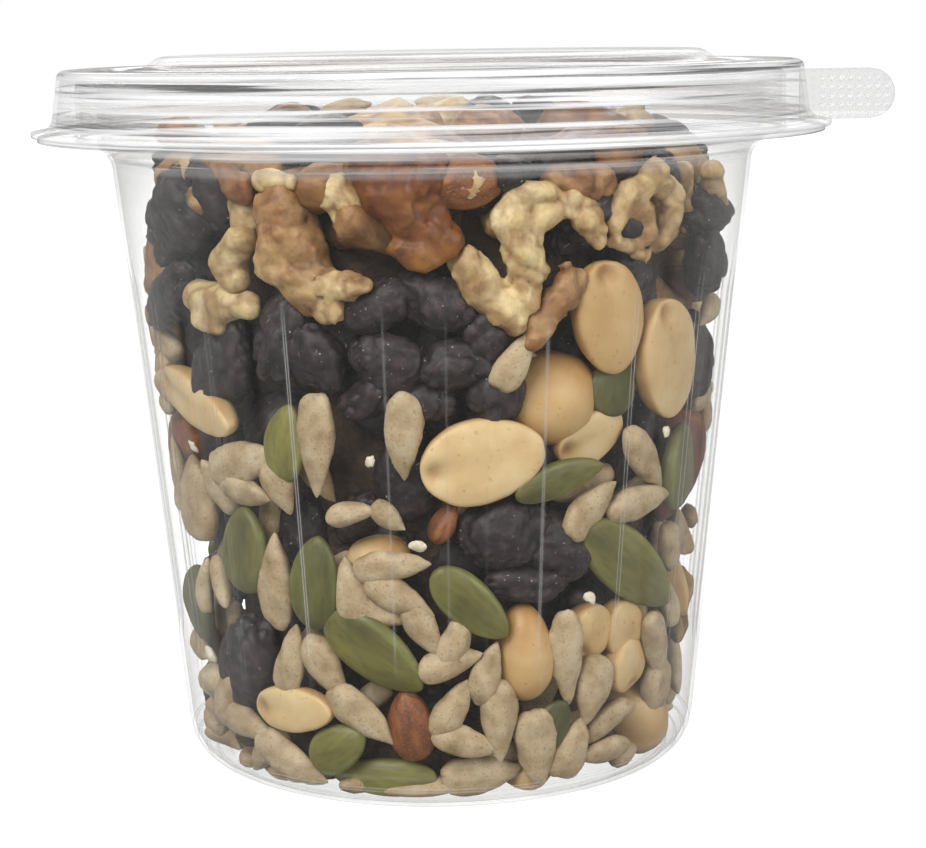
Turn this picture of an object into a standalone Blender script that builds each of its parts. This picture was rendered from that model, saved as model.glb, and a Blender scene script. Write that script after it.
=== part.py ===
"""A clear plastic cup filled with trail mix, closed by a clear lid with a pull tab.

Metres, +Z up. The origin is the centre of the cup's flat base. An azimuth is counted from
the front (-Y) and grows towards +X, so that azimuth 90 degrees is the side with the tab.
"""
import math
import random

import bmesh
import bpy
from mathutils import Vector

MM = 0.001
FULL_TURN = 2 * math.pi

# Cup: a cone from the base to the neck, and above it a shoulder, a folded rim and a flange.
SHEET = 0.6 * MM
BASE_RADIUS = 38.3 * MM
NECK_RADIUS = 47.6 * MM
NECK_HEIGHT = 90.5 * MM
CORNER_RADIUS = 5.0 * MM
CORNER_STEPS = 2
SHOULDER_RADIUS = 49.5 * MM
SHOULDER_HEIGHT = 92.8 * MM
RIM_OUTER_RADIUS = 52.5 * MM
RIM_TOP = 102.4 * MM
FLANGE_RADIUS = 58.2 * MM
FLANGE_TOP = 94.2 * MM

# Flutes: shallow upright channels pressed into the wall, fading out at both ends.
FLUTE_COUNT = 20
FLUTE_PITCH = 360 / FLUTE_COUNT
FLUTE_AZIMUTH = 5.5
FLUTE_FLOOR_HALF = 3.1
FLUTE_HALF = 4.2
FLUTE_DEPTH = 0.55 * MM
FLUTE_FADE = ((17 * MM, 0), (22 * MM, 1), (70 * MM, 1), (77 * MM, 0))

# Lid: a raised disc, a ledge with a sealing groove, an upright band and a flared lip.
DISC_TOP = 105.5 * MM
DISC_RADIUS = 40.1 * MM
DISC_FOOT_RADIUS = 42.8 * MM
LEDGE_TOP = 103.8 * MM
GROOVE_TOP = 101.2 * MM
GROOVE_INNER = 45.4 * MM
GROOVE_OUTER = 47.9 * MM
BAND_TOP_RADIUS = 55.0 * MM
BAND_FOOT_RADIUS = 56.0 * MM
BAND_FOOT = 96.2 * MM
LIP_RADIUS = 59.1 * MM
LIP_TOP = 94.9 * MM
BAND_BEVEL = 0.6 * MM
LID_COLUMNS = 48

# Pull tab: an upright plate with a round end, moulded on the band at azimuth 90 degrees.
TAB_REACH = 69.3 * MM
TAB_ROOT = 55.1 * MM
TAB_TOP = 102.1 * MM
TAB_BOTTOM = 94.6 * MM
TAB_THICKNESS = 1.1 * MM
TAB_ARC_STEPS = 8

# Heap: a core that follows the inside of the cup, with the pieces that show fused on.
HEAP_GAP = 0.5 * MM
CORE_DEPTH = 2.3 * MM
CORE_COLUMNS = 24
CORE_SHOULDER = 90 * MM
CORE_DOME = ((40 * MM, 93.5 * MM), (24 * MM, 95.5 * MM))
CORE_TOP = 96.5 * MM
WALL_TOP = 94 * MM
HEAP_TOP = 99.5 * MM
SEED = 11

# Each kind of piece: length, width and thickness, sides and rings, how pointed, how uneven.
KINDS = {
    "walnut": ((22 * MM, 16 * MM, 10 * MM), (6, 5), 0.0, 0.20),
    "raisin": ((16 * MM, 12 * MM, 9 * MM), (6, 4), 0.0, 0.14),
    "peanut": ((16.5 * MM, 10.5 * MM, 6.5 * MM), (6, 4), 0.1, 0.02),
    "almond": ((18 * MM, 12 * MM, 8 * MM), (6, 4), 0.5, 0.02),
    "pumpkin": ((15 * MM, 8.6 * MM, 3.6 * MM), (5, 4), 0.5, 0.02),
    "sunflower": ((11.5 * MM, 5.6 * MM, 3.8 * MM), (5, 4), 0.7, 0.05),
}

# The pieces that stand out at the front: kind, azimuth and height in mm, tilt in degrees.
FRONT_PIECES = (
    ("walnut", -22, 79, 60),
    ("walnut", -5, 87, 20),
    ("almond", 6, 89, 80),
    ("walnut", 16, 81, 70),
    ("walnut", 40, 84, 80),
    ("walnut", 20, 70, 60),
    ("raisin", -49, 84, 90),
    ("raisin", -57, 73, 70),
    ("raisin", 57, 80, 90),
    ("raisin", -25, 67, 90),
    ("raisin", -45, 62, 80),
    ("raisin", -1, 73, 20),
    ("raisin", -6, 63, 60),
    ("raisin", 18, 39, 10),
    ("raisin", -45, 21, 70),
    ("peanut", -38, 79, 60),
    ("peanut", -42, 71, 10),
    ("peanut", 33, 70, 80),
    ("peanut", 49, 63, 85),
    ("peanut", 22, 61, 50),
    ("peanut", 9, 51, 14),
    ("peanut", -54, 57, 120),
    ("peanut", 17, 23, 85),
    ("peanut", 35, 25, 60),
    ("peanut", 45, 10, 70),
    ("peanut", -33, 14, 10),
    ("almond", -6, 14, 100),
    ("pumpkin", -31, 54, 70),
    ("pumpkin", 23, 48, 20),
    ("pumpkin", 57, 47, 75),
    ("pumpkin", -42, 37, 100),
    ("pumpkin", -25, 34, 85),
    ("pumpkin", 6, 31, 130),
    ("pumpkin", 42, 34, 150),
    ("pumpkin", -13, 24, 142),
    ("pumpkin", -13, 6, 0),
    ("sunflower", -23, 53, 90),
    ("sunflower", -6, 55, 85),
    ("sunflower", -35, 33, 95),
    ("sunflower", 31, 43, 50),
    ("sunflower", 27, 22, 80),
    ("sunflower", -17, 14, 140),
    ("sunflower", 12, 13, 95),
    ("sunflower", 20, 8, 120),
)
FRONT_AZIMUTH = 62

# The rows of pieces round the back and sides: the height of their middles, and the kinds in turn.
BACK_ROWS = (
    (8 * MM, ("sunflower", "pumpkin", "peanut", "sunflower", "raisin")),
    (19 * MM, ("raisin", "sunflower", "walnut", "pumpkin", "sunflower")),
    (32 * MM, ("sunflower", "peanut", "pumpkin", "raisin", "sunflower")),
    (45 * MM, ("pumpkin", "raisin", "sunflower", "peanut", "almond")),
    (59 * MM, ("raisin", "walnut", "sunflower", "raisin", "pumpkin")),
    (74 * MM, ("walnut", "raisin", "peanut", "raisin", "almond")),
    (89 * MM, ("walnut", "raisin", "walnut", "peanut")),
)
BACK_COLUMNS = 7
FILL_ROWS = (16 * MM, 40 * MM)
FILL_AZIMUTHS = (-52, 2, 50)
TOP_RINGS = ((0.0, 1), (15 * MM, 4), (30 * MM, 9))
TOP_KINDS = ("walnut", "raisin", "peanut", "walnut", "almond")


def clear_scene():
    """Takes every object out of the scene."""
    for thing in list(bpy.data.objects):
        bpy.data.objects.remove(thing, do_unlink=True)


def make_material(name, colour, roughness, alpha=1.0, transmission=0.0):
    """A Principled BSDF of this colour and roughness, see-through where alpha is under 1."""
    made = bpy.data.materials.new(name)
    made.use_nodes = True
    shader = made.node_tree.nodes["Principled BSDF"]
    shader.inputs["Base Color"].default_value = (*colour, 1.0)
    shader.inputs["Roughness"].default_value = roughness
    shader.inputs["Metallic"].default_value = 0.0
    shader.inputs["Alpha"].default_value = alpha
    shader.inputs["Transmission Weight"].default_value = transmission
    return made


def around(radius, azimuth, height):
    """The point at this radius, azimuth in degrees and height."""
    turn = math.radians(azimuth)
    return Vector((radius * math.sin(turn), -radius * math.cos(turn), height))


def add_object(name, mesh, material):
    """Links a new object with this mesh and material, shaded smooth but for its sharp edges."""
    mesh.materials.append(material)
    mesh.shade_smooth()
    mesh.set_sharp_from_angle(angle=math.radians(35))
    made = bpy.data.objects.new(name, mesh)
    bpy.context.scene.collection.objects.link(made)
    return made


def turned_mesh(name, profile, azimuths, radius_of):
    """Turns a profile of (radius, height, share) that starts and ends on the axis."""
    form = bmesh.new()
    rings = []
    for radius, height, share in profile:
        if radius == 0:
            rings.append([form.verts.new((0, 0, height))])
            continue
        ring = [form.verts.new(around(radius_of(radius, azimuth, share), azimuth, height))
                for azimuth in azimuths]
        rings.append(ring)
    for first, second in zip(rings, rings[1:]):
        count = max(len(first), len(second))
        for here in range(count):
            after = (here + 1) % count
            corners = [first[here % len(first)], first[after % len(first)]]
            corners += [second[after % len(second)], second[here % len(second)]]
            form.faces.new(list(dict.fromkeys(corners)))
    bmesh.ops.recalc_face_normals(form, faces=form.faces)
    mesh = bpy.data.meshes.new(name)
    form.to_mesh(mesh)
    form.free()
    return mesh


def plain_radius(radius, azimuth, share):
    """The radius of a ring with no flutes."""
    return radius


def fluted_radius(radius, azimuth, share):
    """The radius at an azimuth, pressed in by the flute's depth times share on a flute's floor."""
    off_centre = (azimuth - FLUTE_AZIMUTH + FLUTE_PITCH / 2) % FLUTE_PITCH - FLUTE_PITCH / 2
    on_floor = abs(off_centre) < (FLUTE_FLOOR_HALF + FLUTE_HALF) / 2
    return radius - FLUTE_DEPTH * share * on_floor


def wall_radius(height):
    """The radius of the cup's outer cone at a height."""
    return BASE_RADIUS + (NECK_RADIUS - BASE_RADIUS) * height / NECK_HEIGHT


def cone_tilt():
    """How far the cup's wall leans out from upright, in radians."""
    return math.atan((NECK_RADIUS - BASE_RADIUS) / NECK_HEIGHT)


def corner_points(inset):
    """The rounded corner between base and wall, moved inwards by inset, from base to wall."""
    lean = cone_tilt()
    centre = wall_radius(CORNER_RADIUS) - CORNER_RADIUS / math.cos(lean)
    reach = CORNER_RADIUS - inset
    points = []
    for step in range(CORNER_STEPS + 1):
        turn = -math.pi / 2 + (math.pi / 2 - lean) * step / CORNER_STEPS
        points.append((centre + reach * math.cos(turn), CORNER_RADIUS + reach * math.sin(turn), 0))
    return points


def cup_profile():
    """The closed outline of the cup: out along its outer face, and back along its inner one."""
    slant = SHEET / math.cos(cone_tilt())
    outer = [(0, 0, 0)] + corner_points(0)
    outer += [(wall_radius(height), height, share) for height, share in FLUTE_FADE]
    outer += [
        (NECK_RADIUS, NECK_HEIGHT, 0),
        (SHOULDER_RADIUS, SHOULDER_HEIGHT, 0),
        (SHOULDER_RADIUS, RIM_TOP - SHEET, 0),
        (RIM_OUTER_RADIUS - SHEET, RIM_TOP - SHEET, 0),
        (RIM_OUTER_RADIUS - SHEET, FLANGE_TOP - SHEET, 0),
        (FLANGE_RADIUS, FLANGE_TOP - SHEET, 0),
    ]
    inner = [
        (FLANGE_RADIUS, FLANGE_TOP, 0),
        (RIM_OUTER_RADIUS, FLANGE_TOP, 0),
        (RIM_OUTER_RADIUS, RIM_TOP, 0),
        (SHOULDER_RADIUS - SHEET, RIM_TOP, 0),
        (SHOULDER_RADIUS - SHEET, SHOULDER_HEIGHT + SHEET / 2, 0),
        (NECK_RADIUS - SHEET, NECK_HEIGHT + SHEET / 2, 0),
    ]
    inner += [(wall_radius(height) - slant, height, share) for height, share in reversed(FLUTE_FADE)]
    inner += list(reversed(corner_points(SHEET))) + [(0, SHEET, 0)]
    return outer + inner


def flute_columns():
    """The azimuths of the cup's columns: both edges of each flute's floor and of the flute."""
    offsets = (-FLUTE_HALF, -FLUTE_FLOOR_HALF, FLUTE_FLOOR_HALF, FLUTE_HALF)
    return [FLUTE_AZIMUTH + FLUTE_PITCH * flute + offset
            for flute in range(FLUTE_COUNT) for offset in offsets]


def even_columns(count):
    """Evenly spaced azimuths."""
    return [360 * column / count for column in range(count)]


def lid_profile():
    """The closed outline of the lid: out along its upper face, and back along its lower one."""
    upper = [
        (0, DISC_TOP, 0),
        (DISC_RADIUS, DISC_TOP, 0),
        (DISC_FOOT_RADIUS, LEDGE_TOP, 0),
        (GROOVE_INNER, LEDGE_TOP, 0),
        (GROOVE_INNER, GROOVE_TOP, 0),
        (GROOVE_OUTER, GROOVE_TOP, 0),
        (GROOVE_OUTER, LEDGE_TOP, 0),
        (BAND_TOP_RADIUS - BAND_BEVEL, LEDGE_TOP, 0),
        (BAND_TOP_RADIUS, LEDGE_TOP - BAND_BEVEL, 0),
        (BAND_FOOT_RADIUS, BAND_FOOT, 0),
        (BAND_FOOT_RADIUS + 2 * BAND_BEVEL, LIP_TOP + BAND_BEVEL / 2, 0),
        (LIP_RADIUS, LIP_TOP, 0),
    ]
    lower = [
        (LIP_RADIUS, LIP_TOP - SHEET, 0),
        (BAND_FOOT_RADIUS + BAND_BEVEL, LIP_TOP - SHEET + BAND_BEVEL / 2, 0),
        (BAND_FOOT_RADIUS - SHEET, BAND_FOOT, 0),
        (BAND_TOP_RADIUS - SHEET, LEDGE_TOP - SHEET, 0),
        (GROOVE_OUTER + SHEET, LEDGE_TOP - SHEET, 0),
        (GROOVE_OUTER + SHEET, GROOVE_TOP - SHEET, 0),
        (GROOVE_INNER - SHEET, GROOVE_TOP - SHEET, 0),
        (GROOVE_INNER - SHEET, LEDGE_TOP - SHEET, 0),
        (DISC_FOOT_RADIUS, LEDGE_TOP - SHEET, 0),
        (DISC_RADIUS, DISC_TOP - SHEET, 0),
        (0, DISC_TOP - SHEET, 0),
    ]
    return upper + lower


def tab_mesh():
    """The pull tab: a plate across Y, square at the band and round at its free end."""
    half = (TAB_TOP - TAB_BOTTOM) / 2
    middle = (TAB_TOP + TAB_BOTTOM) / 2
    outline = [(TAB_ROOT, TAB_TOP), (TAB_ROOT, TAB_BOTTOM)]
    for step in range(TAB_ARC_STEPS + 1):
        turn = math.pi * (step / TAB_ARC_STEPS - 0.5)
        outline.append((TAB_REACH - half + half * math.cos(turn), middle + half * math.sin(turn)))
    form = bmesh.new()
    front = form.faces.new([form.verts.new((x, -TAB_THICKNESS / 2, z)) for x, z in outline])
    pulled = bmesh.ops.extrude_face_region(form, geom=[front])
    moved = [thing for thing in pulled["geom"] if isinstance(thing, bmesh.types.BMVert)]
    bmesh.ops.translate(form, verts=moved, vec=(0, TAB_THICKNESS, 0))
    bmesh.ops.recalc_face_normals(form, faces=form.faces)
    mesh = bpy.data.meshes.new("tab")
    form.to_mesh(mesh)
    form.free()
    return mesh


def as_helper(thing):
    """Marks an object as a helper that is not a part of the object itself."""
    thing.hide_render = True
    thing.display_type = "WIRE"


def add_lid(material):
    """The lid, with its pull tab joined on."""
    mesh = turned_mesh("lid", lid_profile(), even_columns(LID_COLUMNS), plain_radius)
    lid = add_object("lid", mesh, material)
    tab = add_object("tab_helper", tab_mesh(), material)
    as_helper(tab)
    join = lid.modifiers.new("tab", "BOOLEAN")
    join.operation = "UNION"
    join.object = tab


def heap_limit(height):
    """How far from the axis the heap may reach at a height: inside the flutes' floors."""
    inset = SHEET + FLUTE_DEPTH + HEAP_GAP
    corner = CORNER_RADIUS - inset
    below = max(0, CORNER_RADIUS - height)
    rounding = corner - math.sqrt(max(0, corner ** 2 - below ** 2))
    return wall_radius(min(max(height, CORNER_RADIUS), NECK_HEIGHT)) - inset - rounding


def core_mesh():
    """The heap's plain core with its domed top, a little inside the pieces that cover it."""
    floor = SHEET + HEAP_GAP
    heights = (floor + HEAP_GAP, CORNER_RADIUS, NECK_HEIGHT / 2, CORE_SHOULDER)
    profile = [(0, floor, 0)]
    profile += [(heap_limit(height) - CORE_DEPTH, height, 0) for height in heights]
    profile += [(radius, height, 0) for radius, height in CORE_DOME] + [(0, CORE_TOP, 0)]
    return turned_mesh("core", profile, even_columns(CORE_COLUMNS), plain_radius)


def lump_points(kind, dice):
    """The points of one piece along its own X, with the numbers of sides and inner rings."""
    (length, width, thickness), (sides, rings), point, uneven = KINDS[kind]
    points = [Vector((-length / 2, 0, 0))]
    for ring in range(1, rings):
        share = ring / rings
        girth = math.sin(math.pi * share) * (1 - point * (share - 0.4))
        for side in range(sides):
            turn = FULL_TURN * (side + ring / 2) / sides
            swell = girth * (1 + dice.uniform(-uneven, uneven))
            across = width / 2 * math.cos(turn) * swell
            through = thickness / 2 * math.sin(turn) * swell
            points.append(Vector((-length / 2 * math.cos(math.pi * share), across, through)))
    points.append(Vector((length / 2, 0, 0)))
    return points, sides, rings - 1


def lump_mesh(points, sides, rings):
    """Closes the rings of points between two end points into a mesh."""
    form = bmesh.new()
    verts = [form.verts.new(point) for point in points]
    for side in range(sides):
        after = (side + 1) % sides
        form.faces.new((verts[0], verts[1 + side], verts[1 + after]))
        last = 1 + (rings - 1) * sides
        form.faces.new((verts[-1], verts[last + after], verts[last + side]))
        for ring in range(rings - 1):
            low = 1 + ring * sides
            high = low + sides
            form.faces.new((verts[low + side], verts[high + side], verts[low + after]))
            form.faces.new((verts[low + after], verts[high + side], verts[high + after]))
    bmesh.ops.recalc_face_normals(form, faces=form.faces)
    mesh = bpy.data.meshes.new("lump")
    form.to_mesh(mesh)
    form.free()
    return mesh


def wall_frame(azimuth):
    """Directions at an azimuth on the wall: to the right, up the wall, and outwards."""
    right = around(0, azimuth, 0) + around(1, azimuth + 90, 0)
    lean = cone_tilt()
    outwards = around(math.cos(lean), azimuth, -math.sin(lean))
    return right, outwards.cross(right), outwards


def placed_on_wall(points, azimuth, height, tilt):
    """Lays a piece on the inside of the cup, its length tilted from level, and moves it in."""
    right, up, outwards = wall_frame(azimuth)
    turn = math.radians(tilt)
    along = right * math.cos(turn) + up * math.sin(turn)
    across = up * math.cos(turn) - right * math.sin(turn)
    middle = around(heap_limit(height), azimuth, height)
    laid = [middle + along * p.x + across * p.y + outwards * p.z for p in points]
    floor = SHEET + 2 * HEAP_GAP
    lift = max(0, floor - min(point.z for point in laid))
    lift -= max(0, max(point.z for point in laid) - WALL_TOP)
    laid = [point + Vector((0, 0, lift)) for point in laid]
    over = max(math.hypot(point.x, point.y) - heap_limit(point.z) for point in laid)
    return [point - around(over, azimuth, 0) for point in laid]


def placed_on_top(points, azimuth, radius, turn):
    """Lays a piece flat on the heap with its highest point at the heap's top."""
    along = around(1, turn, 0)
    across = around(1, turn + 90, 0)
    highest = max(point.z for point in points)
    middle = around(radius, azimuth, HEAP_TOP - highest)
    return [middle + along * p.x + across * p.y + Vector((0, 0, p.z)) for p in points]


def front_lumps(dice):
    """The pieces that stand out at the front."""
    for kind, azimuth, height, tilt in FRONT_PIECES:
        points, sides, rings = lump_points(kind, dice)
        yield placed_on_wall(points, azimuth, height * MM, tilt), sides, rings


def back_lumps(dice):
    """Rows of pieces round the back and sides of the heap, a few between the front ones."""
    span = 360 - 2 * FRONT_AZIMUTH
    for row, (height, kinds) in enumerate(BACK_ROWS):
        for column in range(BACK_COLUMNS):
            kind = kinds[(column + row) % len(kinds)]
            azimuth = FRONT_AZIMUTH + span * (column + 0.5 + 0.3 * (row % 2)) / BACK_COLUMNS
            points, sides, rings = lump_points(kind, dice)
            place = height + dice.uniform(-2, 2) * MM
            yield placed_on_wall(points, azimuth, place, dice.uniform(0, 180)), sides, rings
    for height in FILL_ROWS:
        for azimuth in FILL_AZIMUTHS:
            points, sides, rings = lump_points("sunflower", dice)
            aside = azimuth + dice.uniform(-5, 5)
            yield placed_on_wall(points, aside, height, dice.uniform(20, 160)), sides, rings


def top_lumps(dice):
    """Pieces in rings on the top of the heap."""
    for radius, count in TOP_RINGS:
        for place in range(count):
            kind = TOP_KINDS[(place + count) % len(TOP_KINDS)]
            points, sides, rings = lump_points(kind, dice)
            azimuth = 360 * place / count + dice.uniform(-8, 8)
            yield placed_on_top(points, azimuth, radius, dice.uniform(0, 360)), sides, rings


def keep_largest(mesh):
    """Fills sealed hollows and drops loose scraps by keeping only the largest shell."""
    form = bmesh.new()
    form.from_mesh(mesh)
    left = set(form.verts)
    shells = []
    while left:
        shell = {left.pop()}
        edge_of_search = list(shell)
        while edge_of_search:
            near = edge_of_search.pop()
            for edge in near.link_edges:
                other = edge.other_vert(near)
                if other in left:
                    left.discard(other)
                    shell.add(other)
                    edge_of_search.append(other)
        shells.append(shell)
    largest = max(shells, key=len)
    spare = [vert for vert in form.verts if vert not in largest]
    bmesh.ops.delete(form, geom=spare, context="VERTS")
    form.to_mesh(mesh)
    form.free()


def add_heap(material):
    """The trail mix: every piece joined to the core by one union."""
    dice = random.Random(SEED)
    heap = add_object("trail_mix", core_mesh(), material)
    lumps = bpy.data.collections.new("lumps")
    bpy.context.scene.collection.children.link(lumps)
    for makers in (front_lumps, back_lumps, top_lumps):
        for points, sides, rings in makers(dice):
            lumps.objects.link(bpy.data.objects.new("lump", lump_mesh(points, sides, rings)))
    join = heap.modifiers.new("pieces", "BOOLEAN")
    join.operation = "UNION"
    join.operand_type = "COLLECTION"
    join.collection = lumps
    join.solver = "EXACT"
    bpy.context.view_layer.update()
    joined = bpy.data.meshes.new_from_object(heap.evaluated_get(bpy.context.evaluated_depsgraph_get()))
    heap.modifiers.clear()
    heap.data = joined
    for lump in list(lumps.objects):
        bpy.data.objects.remove(lump, do_unlink=True)
    bpy.data.collections.remove(lumps)
    keep_largest(joined)


def main():
    """Builds the cup, its lid and the trail mix."""
    clear_scene()
    clear = make_material("clear_plastic", (0.93, 0.94, 0.93), 0.08, alpha=0.3, transmission=0.9)
    mix = make_material("trail_mix", (0.47, 0.36, 0.22), 0.55)
    cup_mesh = turned_mesh("cup", cup_profile(), flute_columns(), fluted_radius)
    add_object("cup", cup_mesh, clear)
    add_lid(clear)
    add_heap(mix)


main()
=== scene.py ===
"""The looks of a lidded clear cup of trail mix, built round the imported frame.

Metres, +Z up. An azimuth is counted from the front (-Y) and grows towards +X, in degrees for
the lights and the sheets and in radians for the food. Places read off the photograph are in
pixels of its 926 x 848 frame, and each is cast along the camera's ray onto the inside of the cup.
"""
import math

import bmesh
import bpy
import numpy as np
from mathutils import Matrix, Vector

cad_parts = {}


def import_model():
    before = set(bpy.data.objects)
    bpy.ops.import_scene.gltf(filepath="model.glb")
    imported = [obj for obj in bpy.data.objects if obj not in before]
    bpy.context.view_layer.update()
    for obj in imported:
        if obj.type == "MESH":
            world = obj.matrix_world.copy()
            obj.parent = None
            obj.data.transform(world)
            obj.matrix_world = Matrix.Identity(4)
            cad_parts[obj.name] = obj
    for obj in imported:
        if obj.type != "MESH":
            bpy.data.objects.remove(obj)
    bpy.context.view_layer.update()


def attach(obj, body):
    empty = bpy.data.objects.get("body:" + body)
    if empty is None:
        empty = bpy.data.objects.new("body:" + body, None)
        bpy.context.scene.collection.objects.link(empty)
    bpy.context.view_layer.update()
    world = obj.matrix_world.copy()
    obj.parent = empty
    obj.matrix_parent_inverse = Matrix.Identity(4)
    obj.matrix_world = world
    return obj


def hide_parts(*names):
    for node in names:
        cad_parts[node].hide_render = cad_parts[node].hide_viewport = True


MM = 0.001

# The photograph's frame, and the camera that sees the cup as the photograph does.
PHOTO_WIDTH = 926
PHOTO_HEIGHT = 848
FOCAL_PIXELS = 2324
CAMERA_DISTANCE = 355.4 * MM
CAMERA_PITCH = 0.170
CAMERA_ROLL = -0.017
AIM_HEIGHT = 49.3 * MM
AXIS_OFFSET_PIXELS = -26.85
SENSOR_MM = 36.0

# The studio. Each soft light: name, azimuth, then height, distance and size in metres, and watts.
# The light of the studio's own walls fades with height, and the floor is pale.
LIGHTS = (
    ("key", -30, 0.75, 0.9, 0.6, 10),
    ("fill", 50, 0.35, 0.9, 0.5, 3.2),
    ("back", 180, 0.7, 0.9, 0.8, 6),
)
STUDIO_FADE = {"From Min": 0.15, "From Max": 0.6, "To Min": 0.50, "To Max": 0.34}
WHITE = (1, 1, 1, 1)
FLOOR_COLOUR = (0.4, 0.4, 0.4, 1)
FLOOR_RADIUS = 2.5
# The clear plastic: its grey edge-on, a painted reflection, and how much its streaks hide with their two
# tones, dark and pale painted reflections.
HAZE_AND_REFLECTION_GREY = "#b4b5b3"
REFLECTION_STREAKS = (0.40, 0.12, 1.0)

# Cup and lid: the driving sizes of the sheet forms that replace the frame's cup and lid.
SHEET = 0.6 * MM
BASE_RADIUS = 38.3 * MM
NECK_RADIUS = 47.6 * MM
NECK_HEIGHT = 90.5 * MM
CORNER_RADIUS = 5.0 * MM
SHOULDER_RADIUS = 49.5 * MM
SHOULDER_HEIGHT = 92.8 * MM
RIM_OUTER_RADIUS = 52.5 * MM
RIM_TOP = 102.4 * MM
FLANGE_RADIUS = 58.2 * MM
FLANGE_TOP = 94.2 * MM
FLUTE_COUNT = 20
FLUTE_PITCH = 360 / FLUTE_COUNT
FLUTE_AZIMUTH = 5.5
FLUTE_FLOOR_HALF = 3.0
FLUTE_HALF = 4.3
FLUTE_DEPTH = 0.55 * MM
FLUTE_FADE_HEIGHTS = (17 * MM, 22 * MM, 70 * MM, 77 * MM)
DISC_TOP = 105.5 * MM
DISC_RADIUS = 40.1 * MM
DISC_FOOT_RADIUS = 42.8 * MM
LEDGE_TOP = 103.8 * MM
GROOVE_TOP = 101.2 * MM
GROOVE_INNER = 45.4 * MM
GROOVE_OUTER = 47.9 * MM
BAND_TOP_RADIUS = 55.0 * MM
BAND_FOOT_RADIUS = 56.0 * MM
BAND_FOOT = 96.2 * MM
LIP_RADIUS = 59.1 * MM
LIP_TOP = 94.9 * MM
LID_COLUMNS = 180
TAB_REACH = 69.3 * MM
TAB_ROOT = 55.1 * MM
TAB_TOP = 102.1 * MM
TAB_BOTTOM = 94.6 * MM
TAB_THICKNESS = 1.1 * MM
TAB_ROWS = 26
TAB_COLUMNS = 56
KNURL_PERIOD = 2.72 * MM
KNURL_HEIGHT = 0.32 * MM
# How fine the sheets' meshes are: rows by height, and the cup's columns in degrees from each
# flute's middle, on its floor, across each of its edges and between flutes.
CUP_ROW_SPACING = 4 * MM
LID_ROW_SPACING = 5 * MM
FLOOR_COLUMNS = (-1.5, 0, 1.5)
PLAIN_COLUMNS = (6.0, 7.5, 9.0, 10.5, 12.0)
EDGE_COLUMNS = 7
EDGE_MARGIN = 0.1
BEND_MARGIN = 0.25 * MM
# What counts as a full bend in radians, and as a full crease over this many degrees, where pale lines are
# painted as highlights.
FULL_BEND = 0.3
CREASE_STEP = 0.3
FULL_CREASE = 0.68 * FLUTE_DEPTH

# The heap: how near the cup's outer face the food comes, its top, and where its core lies, a dark lump that
# is painted shadow.
FOOD_INSET = 1.3 * MM
FOOD_FLOOR = 1.1 * MM
HEAP_TOP = 99.5 * MM
WALL_TOP = 94.0 * MM
CORE_INSET = 11 * MM
CORE_TOP = 86 * MM
CORE_FLOOR = 3.5 * MM
CORE_FOOT = 14 * MM
CORE_SPREAD = 5 * MM
CORE_ROWS = 15
CORE_TURN = 7.5


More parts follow.
